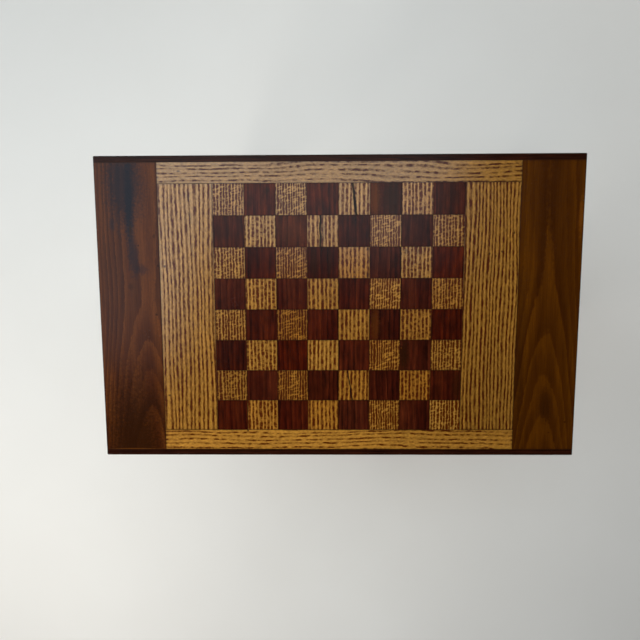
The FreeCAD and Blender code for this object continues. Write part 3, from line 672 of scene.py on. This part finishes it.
left_end = browns((84, 42, 14), (62, 26, 6), (34, 11, 2))
right_end = browns((76, 39, 2), (58, 27, 1), (44, 17, 0))
strip = browns((43, 17, 7), (32, 10, 4), (18, 5, 2))
make_walnut_board("left_end_board", "Y", 11, left_end, arches(11, 26, 0, 3.8, 0.7), shine=LEFT_END_SHINE)
make_walnut_board("right_end_board", "Y", 12, right_end, arches(12, -3, 40, 4.2, 0.6))
make_walnut_board("back_edge_strip", "X", 13, strip, STRAIGHT_RINGS, shine=STRIP_SHINE)
make_walnut_board("front_edge_strip", "X", 14, strip, STRAIGHT_RINGS, shine=STRIP_SHINE)

# %% [markdown]
# ## The squares
#
# A chequered board is not laid square by square. Long sticks of oak and walnut are glued side by side, the
# sheet is cut across into rows, and every second row is turned end for end before the rows are glued
# together. So the squares of one stick come back in every row, in the same column or its mirror, and share
# one figure. A geometry tree follows the same steps: it makes one eased square, copies it to its places,
# and writes on each copy which stick it came from and where in that stick it lay.

# %% Helpers for geometry trees
GEOMETRY = {"Geometry": "geometry"}
SAME_POINT = 1e-6  # metres


def new_geometry_tree(name, sockets):
    """An empty geometry tree. Gives the tree and the sockets that come in."""
    tree, given = new_group(name, GEOMETRY | sockets, GEOMETRY, "GeometryNodeTree")
    tree.data.is_modifier = True
    return tree, given


def joined_meshes(tree, first, second):
    """Two meshes in one."""
    both = tree.add("GeometryNodeJoinGeometry", {0: first})
    tree.feed(both, {0: second})
    return both.outputs[0]


def moved_up(tree, geometry, height):
    """A mesh at another height."""
    inputs = {"Geometry": geometry, "Translation": tree.joined(0.0, 0.0, height)}
    return tree.first("GeometryNodeTransform", inputs)


def pulled(tree, mesh, faces, height, scale):
    """Pulls faces up and makes them smaller. Gives the mesh and the faces on its top."""
    lifted = tree.add("GeometryNodeExtrudeMesh", {"Mesh": mesh, "Selection": faces, "Offset Scale": height})
    inputs = {0: lifted.outputs["Mesh"], "Selection": lifted.outputs["Top"], "Scale": scale}
    return tree.first("GeometryNodeScaleElements", inputs), lifted.outputs["Top"]


def closed_below(tree, shell, base):
    """Closes a shell that was pulled out of a flat base, with the base turned over."""
    under = tree.first("GeometryNodeFlipFaces", {0: base})
    inputs = {0: joined_meshes(tree, shell, under), "Distance": SAME_POINT}
    return tree.first("GeometryNodeMergeByDistance", inputs)


def stored(tree, geometry, name, value, kind="FLOAT"):
    """Writes a number or a vector on every point under a name."""
    inputs = {"Geometry": geometry, "Name": name, "Value": value}
    return tree.first("GeometryNodeStoreNamedAttribute", inputs, data_type=kind)


def named(tree, name):
    """Reads a number that was written on the points."""
    return tree.first("GeometryNodeInputNamedAttribute", {"Name": name}, data_type="FLOAT")


def copied(tree, points, mesh, **more):
    """Copies a mesh to every point."""
    return tree.first("GeometryNodeInstanceOnPoints", {"Points": points, "Instance": mesh} | more)


def finished(tree, geometry, finish):
    """Ends a tree: its copies become one plain mesh, with a finish."""
    whole = tree.first("GeometryNodeRealizeInstances", {0: geometry})
    tree.give(Geometry=tree.first("GeometryNodeSetMaterial", {0: whole, "Material": finish}))


# %% Helpers: a grid and an eased square
def flat_grid(tree, size, count):
    """A flat square grid with a number of points along each side."""
    inputs = {"Size X": size, "Size Y": size, "Vertices X": count, "Vertices Y": count}
    return tree.first("GeometryNodeMeshGrid", inputs)


def eased_square(tree, size, thickness, easing):
    """One square: a thin block whose upper edges are eased, closed below."""
    base = flat_grid(tree, size, 2)
    straight = tree.minus(thickness, easing)
    body = tree.add("GeometryNodeExtrudeMesh", {"Mesh": base, "Offset Scale": straight}).outputs
    inset = tree.minus(1.0, tree.maths("DIVIDE", tree.times(easing, 2.0), size))
    crown, _ = pulled(tree, body["Mesh"], body["Top"], easing, inset)
    return closed_below(tree, crown, base)


# %% Geometry tree: the squares of one wood
STICK_SPACING = 190.0  # between the sticks, in millimetres of the oak or walnut that they are cut from
SAW_KERF = 3.2  # lost between one row and the next
LAST = SQUARES_A_SIDE - 1
SQUARE_SIZES = ("Square Size", "Thickness", "Easing", "Top Height")
SQUARE_SOCKETS = dict.fromkeys(SQUARE_SIZES, "value") | {"Oak": "truth"}
SQUARE_SOCKETS |= {"Tone Seed": "count", "Hue And Sheen Seed": "count", "Finish": "finish"}

tree, given = new_geometry_tree("Chequer squares", SQUARE_SOCKETS)
_, size, thickness, easing, height, is_oak, tone_seed, hue_and_sheen_seed, finish = given

# a copy on each place of one wood
places = flat_grid(tree, tree.times(size, float(LAST)), SQUARES_A_SIDE)
x, y, _ = tree.parts_of(tree.first("GeometryNodeInputPosition"))
column = tree.maths("ROUND", tree.maths("ADD", tree.maths("DIVIDE", x, size), LAST / 2))
row = tree.maths("ROUND", tree.minus(LAST / 2, tree.maths("DIVIDE", y, size)))
places = stored(tree, stored(tree, places, "column", column), "row", row)
column, row = named(tree, "column"), named(tree, "row")
odd = tree.maths("MODULO", tree.maths("ADD", column, row), 2.0)
other_wood = tree.first("FunctionNodeBooleanMath", {0: odd, 1: is_oak}, operation="XNOR")
places = tree.first("GeometryNodeDeleteGeometry", {0: places, "Selection": other_wood})
copies = copied(tree, places, eased_square(tree, size, thickness, easing))
whole = tree.first("GeometryNodeRealizeInstances", {0: copies})

# the point in its square, and in its stick
x, y, z = tree.parts_of(tree.first("GeometryNodeInputPosition"))
x = tree.minus(x, tree.times(tree.minus(column, LAST / 2), size))
y = tree.minus(y, tree.times(tree.minus(LAST / 2, row), size))
local = tree.vectors("MULTIPLY", tree.joined(x, y, z), (MILLIMETRES,) * 3)
turned = tree.maths("MODULO", row, 2.0)
inputs = {"False": column, "True": tree.minus(float(LAST), column), "Switch": turned}
stick = tree.first("GeometryNodeSwitch", inputs, input_type="FLOAT")
way = tree.times(turned, -2.0, plus=1.0)
across, along, deep = tree.parts_of(tree.vectors("MULTIPLY", local, tree.joined(way, way, 1.0)))
across = tree.times(stick, STICK_SPACING, plus=across)
along = tree.times(row, tree.times(size, MILLIMETRES, plus=SAW_KERF), plus=along)
whole = stored(tree, whole, "local", local, "FLOAT_VECTOR")
whole = stored(tree, whole, "grain", tree.joined(across, along, deep), "FLOAT_VECTOR")
whole = stored(tree, stored(tree, whole, "stick", stick), "turned", turned)

# two draws for each square
number = tree.times(row, float(SQUARES_A_SIDE), plus=column)
for name, seed in (("tone", tone_seed), ("hue", hue_and_sheen_seed)):
    draw = tree.add("FunctionNodeRandomValue", {"ID": number, "Seed": seed}, data_type="FLOAT").outputs[1]
    whole = stored(tree, whole, name, draw)
finished(tree, moved_up(tree, whole, tree.minus(height, thickness)), finish)
squares_tree = tree


# %% Helpers: run a geometry tree and keep its result as a plain mesh
def in_scene(name, data):
    """A new object in the scene."""
    made = bpy.data.objects.new(name, data)
    scene.collection.objects.link(made)
    return made


def grow(name, tree, values, start=None):
    """Runs a tree on an object, and gives an object that holds the finished mesh alone."""
    seed = in_scene(name + "_seed", start or bpy.data.meshes.new(name + "_seed"))
    modifier = seed.modifiers.new(tree.data.name, "NODES")
    modifier.node_group = tree.data
    for socket in tree.data.interface.items_tree:
        if socket.in_out == "INPUT" and socket.name in values:
            modifier[socket.identifier] = values[socket.name]
    bpy.context.view_layer.update()
    dressed = seed.evaluated_get(bpy.context.evaluated_depsgraph_get())
    mesh = bpy.data.meshes.new_from_object(dressed)
    bpy.data.objects.remove(seed)
    print(name, len(mesh.polygons), "faces")
    return in_scene(name, mesh)


# %% [markdown]
# ## Finishes for the squares
#
# The figure of a square reads the place in its stick that the geometry tree wrote on it, not the place on
# the table. The oak sticks differ: two were cut towards the heart and show flecks, two are plain. Walnut
# squares are mottled. Each square is also a little lighter or darker than its neighbours, and warmer or
# cooler, by its own two draws; the coolness is partly a painted cool sheen, which some squares catch more
# than others. Oak squares of the rows that were turned end for end are painted a little lighter, for the way
# their fibres catch the light.

# %% Helpers for the finishes of the squares
def attribute(tree, name, output="Fac"):
    """A number or a vector that the geometry tree wrote on the piece."""
    return tree.add("ShaderNodeAttribute", attribute_name=name).outputs[output]


def vary(tree, colour, tones, cool, warm):
    """Makes a square lighter or darker, and cooler or warmer, by its draws; cooler is partly painted sheen.
    """
    # the cool tint is partly the wood's own hue, partly a painted cool sheen that some squares catch more
    # than others
    tint = tree.mix(attribute(tree, "hue"), (*cool, 1.0), (*warm, 1.0))
    colour = tree.mix(1.0, colour, tint, "MULTIPLY")
    return tree.shade(colour, tree.spread(attribute(tree, "tone"), *tones))


def finish_square(tree, shader, colour, pores, position, gloss, shine):
    """Joins a square's figure, its glue lines and its finish to the shader."""
    half = square_size * MILLIMETRES / 2
    local = attribute(tree, "local", "Vector")
    colour, pores = with_edges(tree, colour, pores, local, (-half, -half, 0), (half, half, 0), SQUARE_LINE)
    finish_wood(tree, shader, colour, pores, position, gloss, shine)


# %% Oak for the squares
STICK_RECIPE = ("Fleck", "Ring Width", "Pore Band", "Dash Length", "Faintest", "Strongest")
OAK_STICKS = {
    0: (0.6, 4.4, 0.56, 3.6, 0.6, 2.2),
    2: (0.85, 4.0, 0.56, 4.5, 0.9, 2.2),
    4: (0.0, 6.6, 0.46, 8.0, 0.5, 1.42),
    6: (0.1, 6.0, 0.5, 5.0, 0.4, 1.6),
}
# x, y, reach along x, reach along y, strength
SQUARE_MARKS = [
    (47.5, 98, 3.0, 3.0, 0.8),
    (47.5, 55, 2.6, 6.0, 0.8),
    (110, 94, 5.0, 6.0, 0.5),
    (129, 94, 3.5, 5.0, 0.5),
    (-25, 127, 5.0, 40, 0.4),
]
# start, end, width
SQUARE_CRACKS = [
    ((22.5, 204), (28.5, 152), 6.0),
    ((-29.5, 153), (-29.5, 101), 4.6),
    ((15.5, -104), (23.0, -152.4), 2.6),
]

oak_squares_finish, tree, shader = new_material("oak_squares_finish")
stick = attribute(tree, "stick")
inputs = dict.fromkeys(STICK_RECIPE, 0.0)
for number, recipe in OAK_STICKS.items():
    here = tree.maths("COMPARE", stick, float(number), 0.5)
    for name, value in zip(STICK_RECIPE, recipe):
        inputs[name] = tree.times(here, value, plus=inputs[name])
inputs |= {"Grain": attribute(tree, "grain", "Vector"), "Waviness": 5.0, "Ripple": 1.8} | TOP_OAK
colour, pores = tree.use(oak_figure, inputs)
colour = vary(tree, colour, (0.91, 1.17), (1.0, 1.08, 1.3), (1.0, 0.9, 0.7))
# painted light: the rows turned end for end are painted a little lighter, for the way their fibres catch the
# light
colour = tree.shade(colour, tree.spread(attribute(tree, "turned"), 0.96, 1.08))
position = position_in_mm(tree)
colour = with_marks(tree, colour, position, SQUARE_MARKS)
colour, pores = with_cracks(tree, colour, pores, position, SQUARE_CRACKS)
finish_square(tree, shader, colour, pores, position, OILED, OAK_SHINE)

# %% Walnut for the squares
# x, y, reach along x, reach along y, strength
DARK_PARTS = [
    (108, -76, 12, 44, 0.85),
    (196, -127, 11, 44, 0.6),
    (-114, 192, 6, 8, 0.7),
    (-40, 76, 9, 44, 0.6),
    (-14, 76, 5, 44, 0.5),
    (85, 178, 24, 44, 0.75),
    (178, 178, 32, 44, 0.3),
]
PALE_PARTS = [
    (59, 178, 12, 44, 0.3),
    (60, -25, 10, 44, 0.25),
    (103.5, -64, 1.2, 2.0, 0.9),
    (-76, 127, 36, 36, 0.1),
]
SQUARE_WALNUT = STRAIGHT_RINGS | {"Fibre": 0.85} | browns((66, 23, 6), (50, 12, 3), (29, 4, 1))

walnut_squares_finish, tree, shader = new_material("walnut_squares_finish")
grain = attribute(tree, "grain", "Vector")
colour, pores = tree.use(walnut_figure, {"Grain": grain} | SQUARE_WALNUT)
colour = tree.shade(colour, tree.clouds(grain, (10, 26, 10), 0.1, 1.9))
colour = vary(tree, colour, (0.74, 1.25), (1.0, 1.2, 1.8), (1.0, 0.78, 0.5))
position = position_in_mm(tree)
colour = with_marks(tree, colour, position, DARK_PARTS)
colour = with_marks(tree, colour, position, PALE_PARTS, PALE)
finish_square(tree, shader, colour, pores, position, RUBBED, WALNUT_SHINE)

# %% Make the squares
SQUARE_EASING = 0.00025

square_values = dict(zip(SQUARE_SIZES, (square_size, facing, SQUARE_EASING, top_height)))
for name, node, is_oak, seeds, finish, slot in (
    ("oak_chequers", "oak_squares", True, (635708, 1334948), oak_squares_finish, "oak"),
    ("walnut_chequers", "walnut_squares", False, (1604992, 5039026), walnut_squares_finish, "walnut"),
):
    values = {"Oak": is_oak, "Tone Seed": seeds[0], "Hue And Sheen Seed": seeds[1], "Finish": finish}
    piece = grow(name, squares_tree, square_values | values)
    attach(piece, "table")
    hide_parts(node)

# %% [markdown]
# ## Legs, aprons and the drawer's front
#
# The frame under the top is walnut too, a little lighter. Its grain follows each piece: up the legs, along
# the aprons and rails.

# %% Walnut of the frame
FRAME_GRAIN = {
    "X": [
        "back_apron",
        "front_top_rail",
        "front_bottom_rail",
        "front_apron_left",
        "front_apron_right",
        "drawer_front",
    ],
    "Y": ["left_apron", "right_apron"],
    "Z": ["front_left_leg", "front_right_leg", "back_left_leg", "back_right_leg"],
}
FRAME_RINGS = STRAIGHT_RINGS | {"Ring Width": 14.0, "Fibre": 0.7}
FIRST_FRAME_TREE = 20


def in_turn(grain):
    """Each piece of a table of grains, with the direction of its grain."""
    return [(node, along) for along, nodes in grain.items() for node in nodes]


frame_colours = browns((92, 50, 18), (72, 36, 11), (44, 19, 6))
for number, (node, along) in enumerate(in_turn(FRAME_GRAIN), FIRST_FRAME_TREE):
    make_walnut_board(node, along, number, frame_colours, FRAME_RINGS, edges=False)

# %% [markdown]
# ## Inside: oak that is left bare, plywood, steel and nylon
#
# Pieces that nobody sees in use are sanded and left bare. The braces, runners and the drawer's sides are
# plain oak, and the core and the drawer's bottom are plywood, whose edges show the plies.

# %% Bare oak
INNER_GRAIN = {
    "X": ["corner_braces", "drawer_stop_batten", "drawer_back", "left_spline", "right_spline", "top_buttons"],
    "Y": ["drawer_left_side", "drawer_right_side", "drawer_rear_stops"],
    "Z": ["drawer_turn_button"],
}
for side in ("left", "right"):
    INNER_GRAIN["Y"] += [f"{side}_drawer_{name}" for name in ("runner", "guide", "kicker")]
INNER_OAK = {
    "Heart Across": -260.0,
    "Heart Below": 160.0,
    "Ring Width": 2.6,
    "Waviness": 6.0,
    "Ripple": 0.5,
    "Pore Band": 0.44,
    "Dash Length": 26.0,
    "Fleck": 0.1,
    "Faintest": 0.3,
    "Strongest": 0.75,
}
BARE_COLOURS = {"Ground": paint(178, 142, 98), "Pore": paint(116, 82, 48)}
FIRST_INNER_TREE, KNOB_TREE = 40, 56


def make_inner_oak(node, along, tree_number, colours, gloss):
    """Plain oak with fine, faint rings: a bare piece inside, or the knob."""
    material, tree, shader = new_material(node + "_finish")
    inputs = {"Grain": grain_of(tree, node, along, tree_number)} | colours | INNER_OAK
    finish_wood(tree, shader, *tree.use(oak_figure, inputs), position_in_mm(tree), gloss)
    dress(node, material)


for number, (node, along) in enumerate(in_turn(INNER_GRAIN), FIRST_INNER_TREE):
    make_inner_oak(node, along, number, BARE_COLOURS, BARE)
make_inner_oak("drawer_knob", "Y", KNOB_TREE, OAK_COLOURS, OILED)

# %% Plywood: pale rotary-cut faces, and plies that run crosswise by turns
PLYWOOD = paint(188, 150, 104)

# piece, tree, thickness of a ply
for node, tree_number, ply in (("core_panel", 60, 2.5), ("drawer_bottom", 61, 1.7)):
    material, tree, shader = new_material(node + "_finish")
    position = position_in_mm(tree)
    grain = grain_of(tree, node, "X", tree_number)
    layer = tree.maths("FLOOR", tree.maths("DIVIDE", tree.parts_of(position)[2], ply))
    cross = tree.maths("MODULO", tree.maths("ABSOLUTE", layer), 2.0)
    face = tree.clouds(grain, (14, 120, 4), 0.8, 1.2, 3.0)
    fibre = tree.noise(grain, (0.8, 22, 0.8))
    tone = tree.times(face, tree.spread(fibre, 0.88, 1.12))
    colour = tree.shade(PLYWOOD, tree.times(tone, tree.spread(cross, 1.0, 0.72)))
    finish_wood(tree, shader, colour, tree.times(fibre, 0.3), position, BARE)
    dress(node, material)


# %% Steel and nylon
def make_speckled(name, size, detail, colours, roughness):
    """A plain finish whose colour and roughness vary with one noise. Gives the noise too."""
    material, tree, shader = new_material(name)
    speckle = tree.noise(position_in_mm(tree), (size,) * 3, detail)
    inputs = {"Base Color": tree.mix(speckle, *colours), "Roughness": tree.spread(speckle, *roughness)}
    tree.feed(shader, inputs)
    return material, tree, shader, speckle


STEEL_COLOURS = paint(150, 146, 138), paint(184, 182, 176)
NYLON_COLOURS = paint(48, 44, 40), paint(66, 61, 55)
steel, tree, shader, speckle = make_speckled("steel_finish", 3, 4.0, STEEL_COLOURS, (0.28, 0.5))
tree.feed(shader, {"Metallic": 1.0})

nylon, tree, shader, speckle = make_speckled("nylon_finish", 1.2, 3.0, NYLON_COLOURS, (0.45, 0.7))
bump = tree.first("ShaderNodeBump", {"Height": speckle, "Strength": 0.2, "Distance": 0.0002})
tree.feed(shader, {"Normal": bump})
dress("foot_glides", nylon)

# %% [markdown]
# ## Screws
#
# The screws are round-headed and slotted. The frame holds them as plain solids, and a geometry tree puts a
# domed and slotted one in the place of each.

# %% Where the screws are
def solids_of(node):
    """The box of each separate solid in a node."""
    mesh = bmesh.new()
    mesh.from_mesh(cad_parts[node].data)
    bmesh.ops.remove_doubles(mesh, verts=mesh.verts, dist=SAME_POINT)
    left = set(mesh.verts)
    boxes = []
    while left:
        island, edge = set(), [left.pop()]
        while edge:
            point = edge.pop()
            island.add(point)
            near = {line.other_vert(point) for line in point.link_edges} - island
            edge.extend(near & left)
            left -= near
        sides = list(zip(*(point.co for point in island)))
        boxes.append([Vector([pick(side) for side in sides]) for pick in (min, max)])
    mesh.free()
    return sorted(boxes, key=lambda box: tuple(box[0]))


for node in ("top_screws", "drawer_bottom_screws", "turn_button_screw"):
    print(node, len(solids_of(node)))

# %% Geometry tree: a slotted, round-headed screw
SCREW_SIZES = ("Head Radius", "Head Height", "Shank Radius", "Shank Length", "Slot Width")
SCREW_SOCKETS = dict.fromkeys(SCREW_SIZES, "value") | {"Tilt": "turn", "Finish": "finish"}
DOME_RINGS = 5
DOME_TIP = 0.02  # of the head's radius
SCREW_SIDES = 24
CUTTER_LENGTH = 2.4  # to the head's radius
CUTTER_DEPTH = 1.1  # to the head's height; half of it is above the head

tree, given = new_geometry_tree("Slotted screws", SCREW_SOCKETS)
seats, radius, height, shank_radius, length, slot, tilt, finish = given

# a round head, pulled up ring by ring from a flat disc
disc = tree.first("GeometryNodeMeshCircle", {"Vertices": SCREW_SIDES, "Radius": radius}, fill_type="NGON")
dome, top, before, below = disc, True, 1.0, 0.0
for ring in range(1, DOME_RINGS + 1):
    angle = math.pi / 2 * ring / DOME_RINGS
    wide, high = math.cos(angle) + DOME_TIP, math.sin(angle)
    dome, top = pulled(tree, dome, top, tree.times(height, high - below), wide / before)
    before, below = wide, high

# its slot, and the shank below it
size = tree.joined(tree.times(radius, CUTTER_LENGTH), slot, tree.times(height, CUTTER_DEPTH))
cutter = moved_up(tree, tree.first("GeometryNodeMeshCube", {"Size": size}), height)
inputs = {0: closed_below(tree, dome, disc), 1: cutter}
slotted = tree.first("GeometryNodeMeshBoolean", inputs, operation="DIFFERENCE", solver="EXACT")
inputs = {"Vertices": SCREW_SIDES, "Radius": shank_radius, "Depth": length}
shank = tree.first("GeometryNodeMeshCylinder", inputs)
screw = joined_meshes(tree, slotted, moved_up(tree, shank, tree.times(length, -0.5)))

# a copy on each seat, with its slot turned at random
copies = copied(tree, seats, screw, Rotation=tilt)
inputs = {"Min": (0.0, 0.0, 0.0), "Max": (0.0, 0.0, math.pi), "Seed": 3}
turn = tree.first("FunctionNodeRandomValue", inputs, data_type="FLOAT_VECTOR")
copies = tree.first("GeometryNodeRotateInstances", {"Instances": copies, "Rotation": turn})
finished(tree, copies, finish)
screw_tree = tree

# %% Make the screws
HEAD_SHARE = 0.6  # height of a head to its radius
SHANK_SHARE = 0.5  # radius of a shank to its head's
SLOT_SHARE = 0.28  # width of a slot to its head's radius
UP = (math.pi, 0.0, 0.0)  # point up, head below
BACK = (math.pi / 2, 0.0, 0.0)  # point to the back, head before

for name, node, body, axis, tilt in (
    ("slotted_top_screws", "top_screws", "table", 2, UP),
    ("slotted_drawer_screws", "drawer_bottom_screws", "drawer", 2, UP),
    ("slotted_pivot_screw", "turn_button_screw", "drawer", 1, BACK),
):
    boxes = solids_of(node)
    low, high = boxes[0]
    radius = (high.x - low.x) / 2
    head = radius * HEAD_SHARE
    length = high[axis] - low[axis] - head
    points = [(low + high) / 2 for low, high in boxes]
    for point, (low, high) in zip(points, boxes):
        point[axis] = low[axis] + head
    seats = bpy.data.meshes.new(name + "_seats")
    seats.from_pydata(points, [], [])
    sizes = (radius, head, radius * SHANK_SHARE, length, radius * SLOT_SHARE)
    values = dict(zip(SCREW_SIZES, sizes)) | {"Tilt": tilt, "Finish": steel}
    piece = grow(name, screw_tree, values, seats)
    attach(piece, body)
    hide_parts(node)

# %% [markdown]
# ## Studio
#
# A pale floor and a soft dome that is brighter near the horizon than overhead. A dark zenith keeps the
# colours of the satin top deep when it is seen from above. Two large cool softboxes, on the left and behind,
# are mirrored in the top and lay a cool sheen over its back left corner. Two warm ones light it from the
# front left and the back right, and are not mirrored. Four more hang over the floor far from the table, and
# shine straight down, so that the floor stays pale all the way to the horizon.

# %% Floor
FLOOR_SIZE = 14.0
FLOOR_COLOURS = paint(216, 214, 210), paint(226, 225, 222)

half = FLOOR_SIZE / 2
corners = [(-half, -half, 0), (half, -half, 0), (half, half, 0), (-half, half, 0)]
mesh = bpy.data.meshes.new("floor")
mesh.from_pydata(corners, [], [(0, 1, 2, 3)])
floor = in_scene("floor", mesh)
material, tree, shader = new_material("floor_finish")
cloud = tree.noise(position_in_mm(tree), (600, 600, 600), 3.0)
inputs = {"Base Color": tree.mix(cloud, *FLOOR_COLOURS), "Roughness": 0.85, "Specular IOR Level": 0.1}
tree.feed(shader, inputs)
mesh.materials.append(material)
floor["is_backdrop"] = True

# %% Lights
COOL, WARM, WARMER, WHITE = (0.84, 0.94, 1.0), (1.0, 0.95, 0.88), (1.0, 0.94, 0.86), (1.0, 1.0, 1.0)
NEAR_EDGE, FAR_EDGE = 2.4, 8.4  # of the far softboxes, in metres from the table's middle
FAR_HEIGHT = 2.5
FAR_POWER = 1.9  # watts for each square metre
FAR_SPREAD = math.radians(70)


def softbox(name, place, aim, size, power, colour, mirrored=True):
    """A soft light that points at a place at the top's height, mirrored in satin finishes or not."""
    lamp = bpy.data.lights.new(name, "AREA")
    lamp.shape = "RECTANGLE"
    lamp.size, lamp.size_y = size
    lamp.energy = power
    lamp.color = colour
    holder = in_scene(name, lamp)
    holder.location = place
    holder.visible_glossy = mirrored
    holder.rotation_euler = (Vector((*aim, top_height)) - Vector(place)).to_track_quat("-Z", "Y").to_euler()
    print("light:", name)
    return holder


softbox("left_window", (-1.42, 0.51, 2.5), (-0.3, 0.1), (1.8, 1.6), 32, COOL)
softbox("back_window", (0.05, 0.85, 2.5), (0.0, 0.1), (1.3, 1.5), 17, COOL)
softbox("front_left", (-1.3, -1.2, 1.5), (-0.2, -0.1), (0.9, 0.9), 26, WARMER, False)
softbox("fill", (1.4, 1.6, 1.7), (0.1, 0.1), (0.9, 0.9), 14, WARM, False)

far_middle, far_depth = (NEAR_EDGE + FAR_EDGE) / 2, FAR_EDGE - NEAR_EDGE
side, end = (far_depth, 2 * NEAR_EDGE), (2 * FAR_EDGE, far_depth)
for name, x, y, size in (
    ("far_left", -far_middle, 0.0, side),
    ("far_right", far_middle, 0.0, side),
    ("far_front", 0.0, -far_middle, end),
    ("far_back", 0.0, far_middle, end),
):
    power = FAR_POWER * size[0] * size[1]
    holder = softbox(name, (x, y, FAR_HEIGHT), (x, y), size, power, WHITE, False)
    holder.data.spread = FAR_SPREAD
    holder.visible_camera = False

# %% Dome
HORIZON, ZENITH = (0.9, 0.9, 0.9, 1.0), (0.03, 0.03, 0.03, 1.0)
DOME_STRENGTH = 0.9

world = bpy.data.worlds.new("dome")
scene.world = world
world.use_nodes = True
world.node_tree.nodes.clear()
tree = Tree(world.node_tree)
up = tree.parts_of(tree.add("ShaderNodeTexCoord").outputs["Generated"])[2]
glow = tree.mix(tree.step(up, 0.0, 0.75), HORIZON, ZENITH)
background = tree.first("ShaderNodeBackground", {"Color": glow, "Strength": DOME_STRENGTH})
tree.add("ShaderNodeOutputWorld", {"Surface": background})
scene.view_settings.view_transform = "Standard"
print("dome: strength", DOME_STRENGTH)

# %% [markdown]
# ## Camera
#
# The photograph was taken from above, a little behind the middle of the top, with the camera tipped a few
# degrees to the front. Its place and its lens were found from the corners of the squares.

# %% Camera
CAMERA_PLACE = (-0.0207, 0.0629, top_height + 0.7911)
CAMERA_TILT = (-5.8, 0.68, -0.2)  # degrees
LENS, SENSOR = 27.17, 36.0  # millimetres

camera_data = bpy.data.cameras.new("camera")
camera_data.sensor_width = SENSOR
camera_data.lens = LENS
camera = in_scene("camera", camera_data)
camera.location = CAMERA_PLACE
camera.rotation_euler = [math.radians(angle) for angle in CAMERA_TILT]
scene.camera = camera
print("camera:", tuple(round(x, 3) for x in camera.location))

# %% Sizes, and the end
new_low, new_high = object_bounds()
sizes = {"cad": [list(cad_low), list(cad_high)], "visual": [list(new_low), list(new_high)]}
print("box:", [round(x, 4) for x in new_high - new_low])
